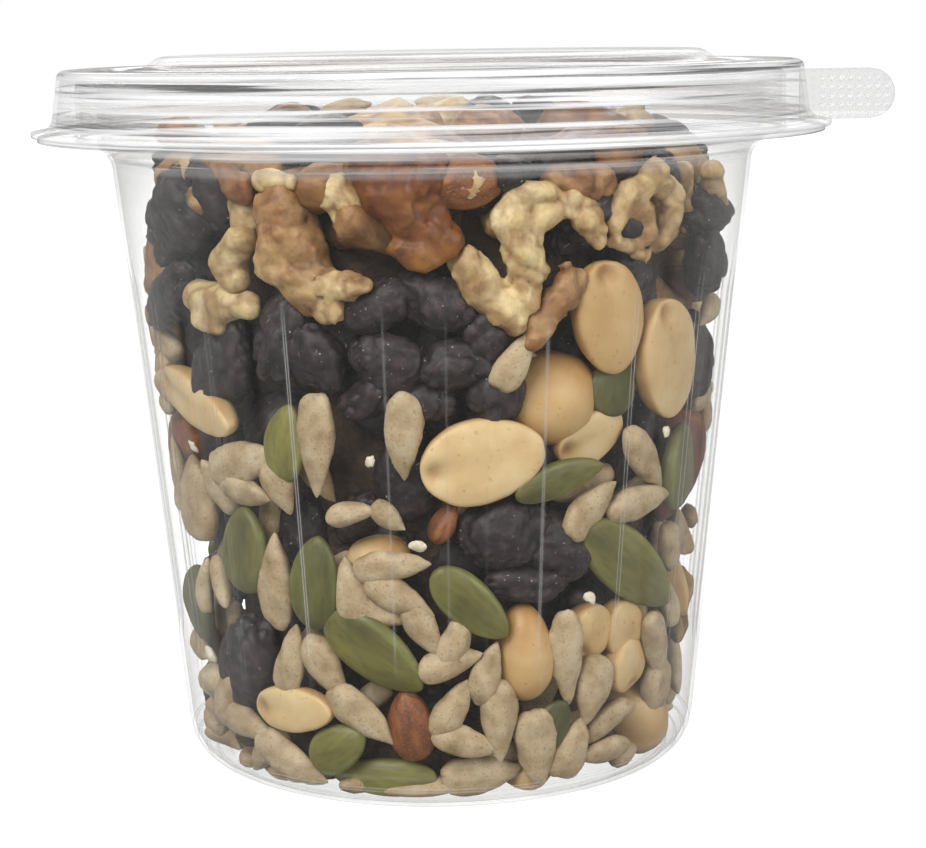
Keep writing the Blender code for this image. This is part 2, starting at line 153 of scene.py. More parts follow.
# What the photograph shows at the front, by kind. Each row: middle x and y, length and width as
# seen, all in pixels, tilt of the length in degrees from level (the pointed end leads), depth
# behind the wall in mm, and tint from -1 (dark) to 1 (pale).
HEROES = {
    "raisin": (
        (185, 215, 100, 77, 90, 0, -0.2), (176, 297, 68, 64, 60, 0, -0.4),
        (280, 342, 88, 62, 70, 0, 0.1), (320, 362, 84, 56, 110, 0.3, -0.2),
        (221, 366, 82, 72, 60, 0.4, 0.0), (375, 302, 78, 56, 20, 1.0, -0.3),
        (440, 300, 88, 62, -10, 0.4, -0.1), (487, 330, 74, 58, 40, 0.6, -0.4),
        (388, 360, 84, 60, -20, 0.4, 0.0), (452, 367, 84, 60, 10, 0.2, -0.2),
        (418, 402, 72, 46, 0, 1.4, -0.5), (362, 402, 62, 50, 30, 1.2, -0.4),
        (500, 392, 66, 52, 60, 0.8, 0.1), (703, 214, 58, 42, 80, 0, -0.3),
        (705, 264, 62, 42, 90, 0, -0.1), (504, 534, 88, 70, 20, 0, -0.3),
        (556, 545, 84, 74, -30, 0.3, -0.2), (528, 584, 96, 52, 0, 1.0, -0.5),
        (251, 657, 86, 56, 80, 0, 0.0), (570, 236, 58, 50, 30, 5.0, 0.8),
        (620, 272, 54, 62, 90, 4.0, 0.9),
    ),
    "peanut_half": (
        (609, 318, 112, 66, -82, 0.3, -0.9), (666, 359, 114, 58, -84, 0, 0.2),
        (483, 461, 127, 82, 14, 0, 0.5), (590, 437, 72, 52, 30, 2.5, 0.6),
        (294, 709, 74, 46, -5, 0, 0.7), (196, 402, 84, 50, -38, 0, 0.5),
        (590, 630, 54, 42, 60, 2.0, -0.3), (622, 628, 52, 42, 100, 2.0, -0.2),
        (626, 664, 50, 44, 90, 1.0, 0.0),
    ),
    "whole_peanut": (
        (550, 396, 98, 86, 60, 1.2, -1.0), (624, 728, 64, 58, 60, 0, -1.0),
        (523, 652, 96, 58, 92, 0, -0.9), (378, 560, 64, 50, 20, 3.0, -0.3),
    ),
    "almond": (
        (470, 181, 80, 58, 4, 0, 0.3), (411, 724, 72, 50, 100, 0, -0.3), (444, 523, 44, 26, 60, 1.0, 0.0),
    ),
    "pumpkin": (
        (612, 386, 60, 46, 80, 2.2, -0.8), (284, 444, 78, 42, 85, 0, 0.9),
        (558, 479, 94, 36, 20, 0, 0.1), (678, 466, 86, 36, 86, 0, -0.1),
        (246, 551, 86, 44, 92, 0, -0.2), (315, 583, 93, 50, 88, 0, -0.6),
        (629, 565, 110, 62, -42, 0, 0.3), (470, 604, 98, 50, -42, 0, 0.4),
        (375, 652, 121, 62, -38, 0, 0.2), (196, 602, 72, 34, 95, 0, -0.7),
        (337, 748, 60, 48, 30, 0.4, 0.1), (385, 781, 106, 36, 177, 0, 0.5),
        (550, 725, 58, 34, 60, 0.8, -0.9),
    ),
    "sunflower": (
        (243, 462, 66, 46, 15, 0, 0.3), (246, 490, 52, 34, -20, 0.2, 0.1),
        (196, 496, 84, 34, 96, 0, -0.2), (183, 560, 70, 30, 80, 0, -0.3),
        (515, 362, 68, 32, 60, 0, 0.1), (316, 445, 105, 35, -88, 0, 0.2),
        (403, 437, 91, 40, -92, 0, 0.1), (279, 485, 62, 30, -70, 0.5, 0.0),
        (590, 508, 74, 32, 50, 0, -0.1), (645, 461, 64, 32, -60, 0.3, 0.0),
        (641, 501, 66, 32, 20, 0, 0.2), (276, 580, 95, 35, 92, 0, 0.0),
        (352, 592, 74, 34, 100, 0.3, 0.3), (393, 566, 78, 32, 5, 0, 0.1),
        (399, 598, 78, 34, -30, 0, -0.1), (422, 628, 68, 32, -60, 0.3, 0.2),
        (378, 612, 62, 30, -20, 0.8, 0.0), (456, 640, 68, 32, 70, 0.2, 0.2),
        (566, 658, 93, 34, -88, 0, 0.2), (592, 690, 72, 32, -100, 0, 0.0),
        (655, 646, 68, 30, -80, 0, 0.1), (655, 692, 66, 30, -95, 0, -0.1),
        (291, 660, 70, 32, 80, 0.2, 0.1), (326, 668, 72, 32, -60, 0.3, 0.0),
        (363, 716, 87, 35, -40, 0, 0.2), (291, 761, 88, 36, -36, 0, 0.3),
        (229, 690, 62, 30, 70, 0, 0.0), (246, 721, 64, 30, -30, 0, 0.1),
        (226, 754, 58, 30, -60, 0, -0.1), (450, 662, 68, 32, 20, 0.2, 0.0),
        (486, 674, 66, 32, 75, 0.1, 0.1), (453, 708, 68, 32, 60, 0, 0.0),
        (466, 742, 70, 32, -15, 0, 0.1), (499, 722, 81, 37, -88, 0, 0.3),
        (536, 748, 79, 43, -85, 0, 0.2), (572, 748, 66, 32, 70, 0, 0.0),
        (481, 779, 85, 39, 8, 0, 0.2), (352, 512, 50, 24, 10, 0.6, 0.3),
        (388, 517, 44, 24, -40, 0.8, 0.2),
    ),
}

# The large walnut pieces at the front: depth behind the wall in mm, how wrinkled, tint, the rods
# that make each (flesh from 0, skin, to 1, broken; then x, y and radius in pixels), and hollows.
HERO_WALNUTS = (
    (0, 1.0, 0.3, (
        (0.25, ((280, 205, 25), (287, 232, 30), (300, 255, 29))),
        (0.80, ((305, 274, 27), (319, 292, 26), (329, 309, 18))),
        (0.90, ((325, 285, 19), (346, 285, 14), (361, 284, 9))),
        (0.60, ((268, 258, 14), (276, 272, 12))),
    ), ()),
    (0, 0.4, 0.7, ((1.0, ((242, 240, 17), (228, 262, 20), (236, 279, 15))),), ()),
    (0, 0.4, 0.8, (
        (0.95, ((200, 297, 18), (226, 301, 20), (248, 305, 14))),
        (0.90, ((204, 316, 14), (217, 324, 12))),
    ), ()),
    (0.5, 1.2, 0.9, ((0.95, ((339, 197, 22), (346, 203, 21))),), ()),
    (0.3, 0.8, -0.1, ((0.15, ((212, 162, 6), (226, 172, 9), (238, 186, 12), (247, 197, 13))),), ()),
    (1.2, 0.6, 0.9, (
        (0.95, ((243, 200, 14), (246, 224, 15))),
        (0.95, ((262, 180, 12), (292, 182, 10))),
    ), ()),
    (0, 1.0, -1.0, (
        (0.20, ((375, 162, 25), (394, 188, 30), (414, 214, 30), (436, 234, 23))),
        (0.15, ((430, 168, 19), (424, 194, 22))),
        (0.85, ((398, 252, 12), (426, 255, 12), (448, 241, 14))),
    ), ()),
    (0, 0.8, 1.0, (
        (0.95, ((468, 262, 20), (478, 288, 23), (500, 311, 22), (514, 324, 14))),
        (0.80, ((526, 197, 16), (512, 217, 20), (520, 245, 21), (528, 272, 20), (528, 296, 15))),
        (0.75, ((545, 214, 15), (570, 203, 14), (586, 216, 14), (596, 234, 13))),
        (0.85, ((520, 190, 12), (545, 192, 12))),
    ), (((500, 245, 6), (503, 262, 7), (505, 280, 6)),)),
    (0.8, 0.9, -0.2, ((0.30, ((556, 178, 17), (582, 184, 19), (602, 180, 16))),), ()),
    (0, 0.8, 0.6, (
        (0.90, ((612, 224, 11), (630, 197, 14), (654, 175, 13))),
        (0.90, ((654, 175, 13), (668, 197, 16), (666, 226, 15), (659, 242, 11))),
        (0.10, ((638, 214, 17), (644, 234, 15))),
        (0.85, ((615, 241, 9), (646, 254, 9))),
    ), (((641, 212, 9), (645, 230, 9)),)),
    (4.0, 0.5, 0.6, ((0.95, ((682, 172, 12), (688, 222, 12))),), ()),
    (0, 1.0, 0.2, (
        (0.35, ((570, 276, 13), (556, 300, 14), (541, 325, 14), (531, 346, 11))),
        (0.50, ((577, 285, 10), (566, 306, 10))),
    ), ()),
    (1.0, 0.6, 0.5, ((0.95, ((712, 172, 11), (716, 205, 12))),), ()),
)
# How fine those pieces' meshes are, and how much nearer the wall their hollows lie, in mm.
HERO_STEP = 0.52 * MM
HOLLOW_RISE = 2.2
# Half the pixels between the two places that give a thing's direction.
HALF_STEP = 6

# What fills the rest. Each entry: kind, tries and, for the layers on the wall, the heights that it
# lies at as shares of the heap. The last plan is for the gaps that the others leave at the sides.
WALL_PLAN = (
    ("walnut", 260, (0.62, 1.0)), ("walnut", 25, (0.15, 0.62)), ("almond", 90, (0.3, 1.0)),
    ("almond", 20, (0, 0.4)), ("raisin", 520, (0.3, 1.0)), ("raisin", 60, (0, 0.3)),
    ("peanut_half", 160, (0, 1.0)), ("whole_peanut", 60, (0, 0.8)), ("pumpkin", 500, (0, 0.75)),
    ("sunflower", 2600, (0, 0.75)), ("sunflower", 120, (0.75, 1.0)), ("crumb", 110, (0, 0.6)),
)
INNER_PLAN = (
    ("walnut", 90, (0.55, 1.0)), ("almond", 40, (0, 1.0)), ("raisin", 260, (0.25, 1.0)),
    ("raisin", 40, (0, 0.25)), ("peanut_half", 60, (0, 1.0)), ("pumpkin", 160, (0, 0.5)),
    ("sunflower", 700, (0, 0.5)),
)
TOP_PLAN = (("walnut", 90), ("almond", 30), ("raisin", 160), ("peanut_half", 50), ("sunflower", 60))
UNDER_PLAN = (("walnut", 50), ("raisin", 90), ("peanut_half", 30))
BASE_PLAN = (("peanut_half", 12), ("raisin", 12), ("pumpkin", 60), ("sunflower", 520))
GAP_PLAN = (("peanut_half", 200, (0.1, 1.0)), ("pumpkin", 500, (0, 0.9)), ("sunflower", 3000, (0, 0.95)))
FILL_FOOT = 4 * MM
FILL_HEIGHT = 92 * MM
SEED = 23
# The kernels in the cup's bottom corner: tries, how near each other, and the heights in mm.
CORNER_TRIES = 900
CORNER_TIGHT = 0.62
CORNER_HEIGHTS = (2.0, 7.0)
CORNER_HEIGHT = 3.5 * MM
# How much the tint varies, and how much things lean at the front, on the wall and in a layer.
TINT_SPREAD = 0.45
FRONT_LEAN = 0.10
WALL_LEAN = 0.22
LAYER_LEAN = 0.25
# How fine the meshes are round the back, and how deep in mm a thing takes no room on the wall.
BACK_DETAIL = 0.75
HIDDEN_DEPTH = 3
# What fills up the front between the things seen there, how far round the front reaches, and how
# high up its kernels lie as a share of the heap.
FRONT_KINDS = ("raisin", "sunflower", "crumb")
FRONT_HALF = 1.35
FRONT_SEED_TOP = 0.52
# How much further in, and lower, the food lies high up at the left and right than at the front.
SIDE_GAP = 4.4 * MM
SIDE_FALL = 4.0 * MM
SIDE_HEIGHTS = (74 * MM, 88 * MM)
# The heap's domed top, and how far from the axis its top and base layers reach.
DOME_RADIUS = 46 * MM
DOME_CLEARANCE = 0.4 * MM
DOME_FALL = 3.0 * MM
DOME_EDGE_FALL = 6.5 * MM
TOP_REACH = 44 * MM
BASE_REACH = 40 * MM
BASE_MARGIN = 12 * MM
# Multiplied into a direction, this leaves its level part.
LEVEL = np.array((1, 1, 0))


def wall_radius(height):
    """The radius of the cup's outer cone at a height."""
    return BASE_RADIUS + (NECK_RADIUS - BASE_RADIUS) * height / NECK_HEIGHT


def unit(vector):
    """The vector made one long."""
    return vector / np.linalg.norm(vector)


def level_direction(azimuth):
    """The level direction at an azimuth in radians."""
    return np.array((math.sin(azimuth), -math.cos(azimuth), 0))


def food_limit(heights):
    """How far from the axis food may reach at each height, inside the wall and its corner."""
    heights = np.asarray(heights, float)
    corner = CORNER_RADIUS - FOOD_INSET
    below = np.clip(CORNER_RADIUS - heights, 0, corner)
    rounding = corner - np.sqrt(corner ** 2 - below ** 2)
    return wall_radius(np.clip(heights, CORNER_RADIUS, NECK_HEIGHT)) - FOOD_INSET - rounding


class PhotoCamera:
    """The camera as plain vectors, for casting pixels of the photograph into the scene."""

    def __init__(self):
        pitch_cos = math.cos(CAMERA_PITCH)
        pitch_sin = math.sin(CAMERA_PITCH)
        roll_cos = math.cos(CAMERA_ROLL)
        roll_sin = math.sin(CAMERA_ROLL)
        self.place = np.array((0, -CAMERA_DISTANCE * pitch_cos,
                               AIM_HEIGHT + CAMERA_DISTANCE * pitch_sin))
        self.ahead = np.array((0, pitch_cos, -pitch_sin))
        level_up = np.array((0, pitch_sin, pitch_cos))
        level_right = np.array((1.0, 0, 0))
        self.right = roll_cos * level_right + roll_sin * level_up
        self.up = roll_cos * level_up - roll_sin * level_right

    def ray(self, pixel_x, pixel_y):
        """The unit direction of the ray through a pixel."""
        across = (pixel_x - PHOTO_WIDTH / 2 - AXIS_OFFSET_PIXELS) / FOCAL_PIXELS
        down = (pixel_y - PHOTO_HEIGHT / 2) / FOCAL_PIXELS
        return unit(self.ahead + self.right * across - self.up * down)

    def cast(self, pixel_x, pixel_y, inset):
        """Where the ray through a pixel first meets the cone that lies inset inside the wall."""
        direction = self.ray(pixel_x, pixel_y)
        slope = (NECK_RADIUS - BASE_RADIUS) / NECK_HEIGHT
        radius = BASE_RADIUS - inset + slope * self.place[2]
        square = direction[0] ** 2 + direction[1] ** 2 - (slope * direction[2]) ** 2
        half = self.place[0] * direction[0] + self.place[1] * direction[1]
        half -= radius * slope * direction[2]
        rest = self.place[0] ** 2 + self.place[1] ** 2 - radius ** 2
        inside = max(half * half - square * rest, 0)
        return self.place + direction * (-half - math.sqrt(inside)) / square

    def pixel_size(self, point):
        """The size of one pixel at a point."""
        return float(np.dot(point - self.place, self.ahead)) / FOCAL_PIXELS


def linked(name, data):
    """A new object with this data, linked into the scene."""
    made = bpy.data.objects.new(name, data)
    bpy.context.scene.collection.objects.link(made)
    return made


def set_inputs(node, values):
    """Sets a node's own values by the names of their sockets."""
    for name, value in values.items():
        node.inputs[name].default_value = value


def add_camera():
    """Makes the scene's camera stand where the photograph's did."""
    view = PhotoCamera()
    data = bpy.data.cameras.new("camera")
    data.sensor_fit = "HORIZONTAL"
    data.sensor_width = SENSOR_MM
    data.lens = FOCAL_PIXELS / PHOTO_WIDTH * SENSOR_MM
    data.shift_x = -AXIS_OFFSET_PIXELS / PHOTO_WIDTH
    data.clip_start = 0.01
    camera = linked("camera", data)
    columns = (view.right, view.up, -view.ahead, view.place)
    rows = [[float(column[row]) for column in columns] for row in range(3)]
    camera.matrix_world = Matrix(rows + [[0, 0, 0, 1]])
    bpy.context.scene.camera = camera


def add_area_light(name, azimuth, height, distance, size, power):
    """A square soft light at an azimuth that faces the middle of the cup."""
    data = bpy.data.lights.new(name, "AREA")
    data.energy = power
    data.size = size
    light = linked(name, data)
    turn = math.radians(azimuth)
    light.location = (distance * math.sin(turn), -distance * math.cos(turn), height)
    towards = Vector((0, 0, AIM_HEIGHT)) - light.location
    light.rotation_euler = towards.to_track_quat("-Z", "Y").to_euler()


def add_world():
    """A studio whose walls are pale at the object's level and dimmer overhead."""
    world = bpy.data.worlds.new("studio")
    bpy.context.scene.world = world
    world.use_nodes = True
    nodes = world.node_tree.nodes
    links = world.node_tree.links
    nodes.clear()
    place = nodes.new("ShaderNodeTexCoord")
    split = nodes.new("ShaderNodeSeparateXYZ")
    links.new(place.outputs["Generated"], split.inputs[0])
    rise = nodes.new("ShaderNodeMapRange")
    set_inputs(rise, STUDIO_FADE)
    rise.interpolation_type = "SMOOTHSTEP"
    links.new(split.outputs["Z"], rise.inputs["Value"])
    seen = nodes.new("ShaderNodeLightPath")
    strength = nodes.new("ShaderNodeMix")
    links.new(seen.outputs["Is Camera Ray"], strength.inputs["Factor"])
    links.new(rise.outputs["Result"], strength.inputs["A"])
    set_inputs(strength, {"B": 1.0})
    background = nodes.new("ShaderNodeBackground")
    set_inputs(background, {"Color": WHITE})
    links.new(strength.outputs["Result"], background.inputs["Strength"])
    output = nodes.new("ShaderNodeOutputWorld")
    links.new(background.outputs[0], output.inputs["Surface"])


def add_stage():
    """The plain pale floor."""
    form = bmesh.new()
    bmesh.ops.create_circle(form, cap_ends=True, segments=96, radius=FLOOR_RADIUS)
    mesh = bpy.data.meshes.new("floor")
    form.to_mesh(mesh)
    form.free()
    pale = bpy.data.materials.new("floor")
    pale.use_nodes = True
    nodes = pale.node_tree.nodes
    shader = nodes["Principled BSDF"]
    set_inputs(shader, {"Base Color": FLOOR_COLOUR, "Roughness": 0.9, "Emission Color": WHITE})
    seen = nodes.new("ShaderNodeLightPath")
    pale.node_tree.links.new(seen.outputs["Is Camera Ray"], shader.inputs["Emission Strength"])
    mesh.materials.append(pale)
    floor = linked("floor", mesh)


def set_view():
    """Plain colours, and enough bounces for light to pass through every layer of clear sheet."""
    scene = bpy.context.scene
    scene.view_settings.view_transform = "Standard"
    scene.cycles.max_bounces = 6
    scene.cycles.diffuse_bounces = 3
    scene.cycles.transparent_max_bounces = 24
    scene.cycles.caustics_refractive = False
    scene.cycles.caustics_reflective = False


def rounded_path(corners, steps=5):
    """A path through (radius, height, rounding) corners, each rounded by an arc-like curve."""
    points = [np.array(corners[0][:2])]
    for before, here, after in zip(corners, corners[1:], corners[2:]):
        corner = np.array(here[:2])
        back = np.array(before[:2]) - corner
        ahead = np.array(after[:2]) - corner
        reach = min(here[2], np.linalg.norm(back) * 0.48, np.linalg.norm(ahead) * 0.48)
        if reach == 0:
            points.append(corner)
            continue
        start = corner + unit(back) * reach
        end = corner + unit(ahead) * reach
        for step in range(steps + 1):
            share = step / steps
            points.append((1 - share) ** 2 * start + 2 * share * (1 - share) * corner + share ** 2 * end)
    points.append(np.array(corners[-1][:2]))
    return np.array(points)


def spaced_path(points, spacing):
    """The path with points no further apart than spacing, and one close by each bend."""
    spaced = [points[0]]
    for start, end in zip(points, points[1:]):
        length = np.linalg.norm(end - start)
        count = max(1, math.ceil(length / spacing))
        shares = [step / count for step in range(1, count + 1)]
        if length > 4 * BEND_MARGIN:
            shares = sorted(shares + [BEND_MARGIN / length, 1 - BEND_MARGIN / length])
        spaced += [start + (end - start) * share for share in shares]
    return np.array(spaced)


def both_sides(path, thickness):
    """The outline of a sheet of this thickness along a path that starts on the axis."""
    along = np.gradient(path, axis=0)
    along /= np.linalg.norm(along, axis=1)[:, None]
    normal = np.stack((along[:, 1], -along[:, 0]), axis=1)
    one = path + normal * thickness / 2
    other = path - normal * thickness / 2
    one[0, 0] = 0
    other[0, 0] = 0
    return np.concatenate((one, other[::-1]))


def mesh_from(name, points, faces, attributes=None):
    """A smooth-shaded mesh from arrays, with a value or vector for each point by name."""
    mesh = bpy.data.meshes.new(name)
    mesh.from_pydata(points.tolist(), [], faces if isinstance(faces, list) else faces.tolist())
    for key, values in (attributes or {}).items():
        kind = "FLOAT_VECTOR" if values.ndim == 2 else "FLOAT"
        stored = mesh.attributes.new(key, kind, "POINT")
        stored.data.foreach_set("vector" if values.ndim == 2 else "value", values.astype(np.float32).ravel())
    mesh.shade_smooth()
    mesh.update()
    return mesh


def turned_sheet(name, outline, azimuths, press):
    """Turns an outline round the axis, each point pressed in by press(azimuth, height)."""
    turn = np.radians(azimuths)
    radii = outline[:, 0][:, None] - press(azimuths[None, :], outline[:, 1][:, None])
    radii = np.where(outline[:, 0][:, None] == 0, 0, radii)
    points = np.stack((radii * np.sin(turn), -radii * np.cos(turn),
                       np.broadcast_to(outline[:, 1][:, None], radii.shape)), axis=2)
    rows, columns = radii.shape
    middle = points[1:-1].reshape(-1, 3)
    points = np.concatenate((points[0, :1], middle, points[-1, :1]))
    # The flutes' edges and the bends of the outline, where the sheet's look paints pale lines as highlights.
    ahead = press(azimuths[None, :] + CREASE_STEP, outline[:, 1][:, None])
    behind = press(azimuths[None, :] - CREASE_STEP, outline[:, 1][:, None])
    crease = np.clip(np.abs(ahead - behind)[1:-1] / FULL_CREASE, 0, 1) ** 8
    steps = np.diff(outline, axis=0)
    headings = np.unwrap(np.arctan2(steps[:, 1], steps[:, 0]))
    bend = np.clip(np.abs(np.diff(headings)) / FULL_BEND, 0, 1)
    upright = np.abs(steps[:-1, 1]) / np.maximum(np.linalg.norm(steps[:-1], axis=1), 1e-9)
    looks = {"grain": points / MM}
    for key, values in (("crease", crease), ("bend", bend[:, None]), ("upright", upright[:, None])):
        every = np.broadcast_to(values, crease.shape).ravel()
        looks[key] = np.concatenate(((0,), every, (0,)))
    faces = []
    for row in range(rows - 3):
        here = 1 + row * columns
        for column in range(columns):
            after = (column + 1) % columns
            faces.append((here + column, here + after, here + columns + after, here + columns + column))
    last = len(points) - 1
    edge = last - columns
    for column in range(columns):
        after = (column + 1) % columns
        faces.append((0, 1 + after, 1 + column))
        faces.append((last, edge + column, edge + after))
    return mesh_from(name, points, faces, looks)


def outward(mesh):
    """Turns every face of a closed mesh to face outwards."""
    form = bmesh.new()
    form.from_mesh(mesh)
    bmesh.ops.recalc_face_normals(form, faces=form.faces)
    form.to_mesh(mesh)
    form.free()


def add_piece(mesh, material, slot, replaced=()):
    """Links a piece of the object that rides on the one body."""
    mesh.materials.append(material)
    piece = linked(mesh.name, mesh)
    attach(piece, "root")
    for node in replaced:
        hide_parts(node)
    piece.visible_shadow = slot != "clear_plastic"
    piece.visible_diffuse = slot != "clear_plastic"


def flute_press(azimuths, heights):
    """How far the wall is pressed in by its flutes at each azimuth and height."""
    low, low_full, high_full, high = FLUTE_FADE_HEIGHTS
    share = np.clip((heights - low) / (low_full - low), 0, 1)
    share = share * np.clip((high - heights) / (high - high_full), 0, 1)
    off_centre = np.abs((azimuths - FLUTE_AZIMUTH + FLUTE_PITCH / 2) % FLUTE_PITCH - FLUTE_PITCH / 2)
    edge = np.clip((FLUTE_HALF - off_centre) / (FLUTE_HALF - FLUTE_FLOOR_HALF), 0, 1)
    smooth = edge * edge * (3 - 2 * edge)
    return FLUTE_DEPTH * smooth * share * share * (3 - 2 * share)


def no_press(azimuths, heights):
    """No flutes."""
    return np.zeros(np.broadcast(azimuths, heights).shape)


def cup_columns():
    """Azimuths that crowd together at the flutes' edges."""
    edge = np.linspace(FLUTE_FLOOR_HALF - EDGE_MARGIN, FLUTE_HALF + EDGE_MARGIN, EDGE_COLUMNS)
    offsets = np.concatenate((-edge[::-1], FLOOR_COLUMNS, edge, PLAIN_COLUMNS))
    starts = FLUTE_AZIMUTH + FLUTE_PITCH * np.arange(FLUTE_COUNT)
    return (starts[:, None] + offsets[None, :]).ravel()


def add_cup(wall, rim):
    """The fluted cup with its folded rim and flange, one sheet all through."""
    half = SHEET / 2
    corners = (
        (0, half, 0),
        (BASE_RADIUS - half * 0.5, half, CORNER_RADIUS * 1.05),
        (NECK_RADIUS - half, NECK_HEIGHT, 0.9 * MM),
        (SHOULDER_RADIUS - half, SHOULDER_HEIGHT, 0.9 * MM),
        (SHOULDER_RADIUS - half, RIM_TOP - half, 1.0 * MM),
        (RIM_OUTER_RADIUS - half, RIM_TOP - half, 1.0 * MM),
        (RIM_OUTER_RADIUS - half, FLANGE_TOP - half, 0.7 * MM),
        (FLANGE_RADIUS, FLANGE_TOP - half, 0),
    )
    path = spaced_path(rounded_path(corners), CUP_ROW_SPACING)
    mesh = turned_sheet("cup_clear", both_sides(path, SHEET), cup_columns(), flute_press)
    outward(mesh)
    add_piece(mesh, wall, "clear_plastic", ("cup",))
    mesh.materials.append(rim)
    for face in mesh.polygons:
        face.material_index = int(face.center.z > NECK_HEIGHT)


def tab_points():
    """The knurled pull tab: both faces as grids of points clipped to a round-ended outline."""
    half = (TAB_TOP - TAB_BOTTOM) / 2
    middle = (TAB_TOP + TAB_BOTTOM) / 2
    rows = TAB_ROWS
    columns = TAB_COLUMNS
    straight = TAB_REACH - half - TAB_ROOT
    share = np.linspace(0, 1, columns)
    up = np.linspace(-1, 1, rows)
    bulge = np.sqrt(np.clip(1 - up ** 2, 0, 1))
    x = TAB_ROOT + share[None, :] * (straight + half * bulge[:, None])
    z = middle + half * up[:, None] + np.zeros_like(x)
    wave = 2 * math.pi / KNURL_PERIOD
    knurl = np.cos(wave * (x + z)) * np.cos(wave * (x - z))
    edge = np.minimum(1 - np.abs(up)[:, None], (1 - share)[None, :] * 3)
    fade = np.clip(edge / 0.18, 0, 1) * np.clip((share[None, :] - 0.12) / 0.1, 0, 1)
    thick = TAB_THICKNESS / 2 * np.clip(edge / 0.12, 0.35, 1) ** 0.5
    y = thick + KNURL_HEIGHT * np.maximum(knurl, -0.2) * fade
    front = np.stack((x, -y, z), axis=2).reshape(-1, 3)
    back = np.stack((x, y, z), axis=2).reshape(-1, 3)
    faces = []
    for row in range(rows - 1):
        for column in range(columns - 1):
            here = row * columns + column
            quad = (here, here + 1, here + columns + 1, here + columns)
            faces.append(quad)
            faces.append(tuple(len(front) + corner for corner in reversed(quad)))
    rim = [row * columns for row in range(rows - 1, 0, -1)] + list(range(columns - 1))
    rim += [row * columns + columns - 1 for row in range(rows - 1)]
    rim += [(rows - 1) * columns + column for column in range(columns - 1, 0, -1)]
    for here, after in zip(rim, rim[1:] + rim[:1]):
        faces.append((here, len(front) + here, len(front) + after, after))
    # Painted highlights: the knurl's tops, carried as the bend value, are whitened by the tab's look.
    shine = np.tile((np.clip(knurl, 0, 1) ** 2 * fade).ravel(), 2)
    return np.concatenate((front, back)), faces, {"bend": shine}


def add_lid(material, tab_material):
    """The lid with its raised disc, groove, band and lip, and the knurled tab on its band."""
    half = SHEET / 2
    corners = (
        (0, DISC_TOP - half, 0),
        (DISC_RADIUS, DISC_TOP - half, 0.8 * MM),
        (DISC_FOOT_RADIUS, LEDGE_TOP - half, 0.8 * MM),
        (GROOVE_INNER - half, LEDGE_TOP - half, 0.5 * MM),
        (GROOVE_INNER - half, GROOVE_TOP - half, 0.6 * MM),
        (GROOVE_OUTER + half, GROOVE_TOP - half, 0.6 * MM),
        (GROOVE_OUTER + half, LEDGE_TOP - half, 0.6 * MM),
        (BAND_TOP_RADIUS - half, LEDGE_TOP - half, 0.9 * MM),
        (BAND_FOOT_RADIUS - half, BAND_FOOT, 0.6 * MM),
        (BAND_FOOT_RADIUS + 0.8 * MM, LIP_TOP + 0.1 * MM, 0.8 * MM),
        (LIP_RADIUS, LIP_TOP - half, 0),
    )
    path = spaced_path(rounded_path(corners), LID_ROW_SPACING)
    azimuths = np.arange(LID_COLUMNS) * 360 / LID_COLUMNS
    mesh = turned_sheet("lid_clear", both_sides(path, SHEET), azimuths, no_press)
    outward(mesh)
    add_piece(mesh, material, "clear_plastic", ("lid",))
    points, faces, looks = tab_points()
    tab = mesh_from("pull_tab", points, faces, looks)
    outward(tab)
    add_piece(tab, tab_material, "clear_plastic")


def hashed(cells, seed):
    """An even share from 0 to 1 for each cell of whole numbers."""
    mixed = cells[..., 0] * 73856093 ^ cells[..., 1] * 19349663 ^ cells[..., 2] * 83492791
    mixed = (mixed ^ seed * 2654435761) & 0x7FFFFFFF
    mixed = (mixed ^ (mixed >> 15)) * 0x2C1B3C6D & 0x7FFFFFFF
    mixed = (mixed ^ (mixed >> 12)) * 0x297A2D39 & 0x7FFFFFFF
    return ((mixed ^ (mixed >> 15)) & 0xFFFFFF) / 0xFFFFFF


def noise(points, seed=0):
    """Smooth noise from -1 to 1 with features about one unit wide."""
    cells = np.floor(points).astype(np.int64)
    share = points - cells
    share = share * share * (3 - 2 * share)
    total = np.zeros(points.shape[:-1])
    for corner in np.ndindex(2, 2, 2):
        weight = np.prod(np.where(np.array(corner) == 1, share, 1 - share), axis=-1)
        total += weight * hashed(cells + np.array(corner), seed)
    return total * 2 - 1


def layered_noise(points, seed=0, octaves=3):
    """Noise with finer and fainter layers added."""
    total = np.zeros(points.shape[:-1])
    for octave in range(octaves):
        total += noise(points * 2 ** octave, seed + octave) / 2 ** octave
    return total


def folds(points, seed=0):
    """Rounded ridges with narrow valleys between them: 1 on a valley's floor, 0 on a ridge."""
    return (1 - np.abs(noise(points, seed))) ** 4


def warped(points, seed, reach, scale=0.33):
    """Points moved about by noise, so that what is laid along them winds."""
    moves = [noise(points * scale, seed + axis) for axis in range(3)]
    return points + reach * np.stack(moves, axis=-1)


def long_grid(rings, sides):
    """Positions along (-1 to 1) and angles round a long solid with single end points, and faces."""
    along = -np.cos(np.pi * np.arange(1, rings) / rings)
    turns = 2 * np.pi * np.arange(sides) / sides
    u = np.concatenate(((-1,), np.repeat(along, sides), (1,)))
    a = np.concatenate(((0,), np.tile(turns, rings - 1), (0,)))
    side = np.arange(sides)
    after = (side + 1) % sides
    last = len(u) - 1
    edge = last - sides
    faces = [np.stack((np.zeros_like(side), 1 + after, 1 + side), axis=1),
             np.stack((np.full_like(side, last), edge + side, edge + after), axis=1)]
    for ring in range(rings - 2):
        low = 1 + ring * sides
        high = low + sides
        faces.append(np.stack((low + side, low + after, high + side), axis=1))
        faces.append(np.stack((low + after, high + after, high + side), axis=1))
    return u, a, np.concatenate(faces)


def tapered(u, tip, butt):
    """The girth of a long solid that runs out to a point at +1 and is blunter at -1."""
    girth = np.clip(1 - u, 0, 2) ** tip * np.clip(1 + u, 0, 2) ** butt
    return girth / girth.max()


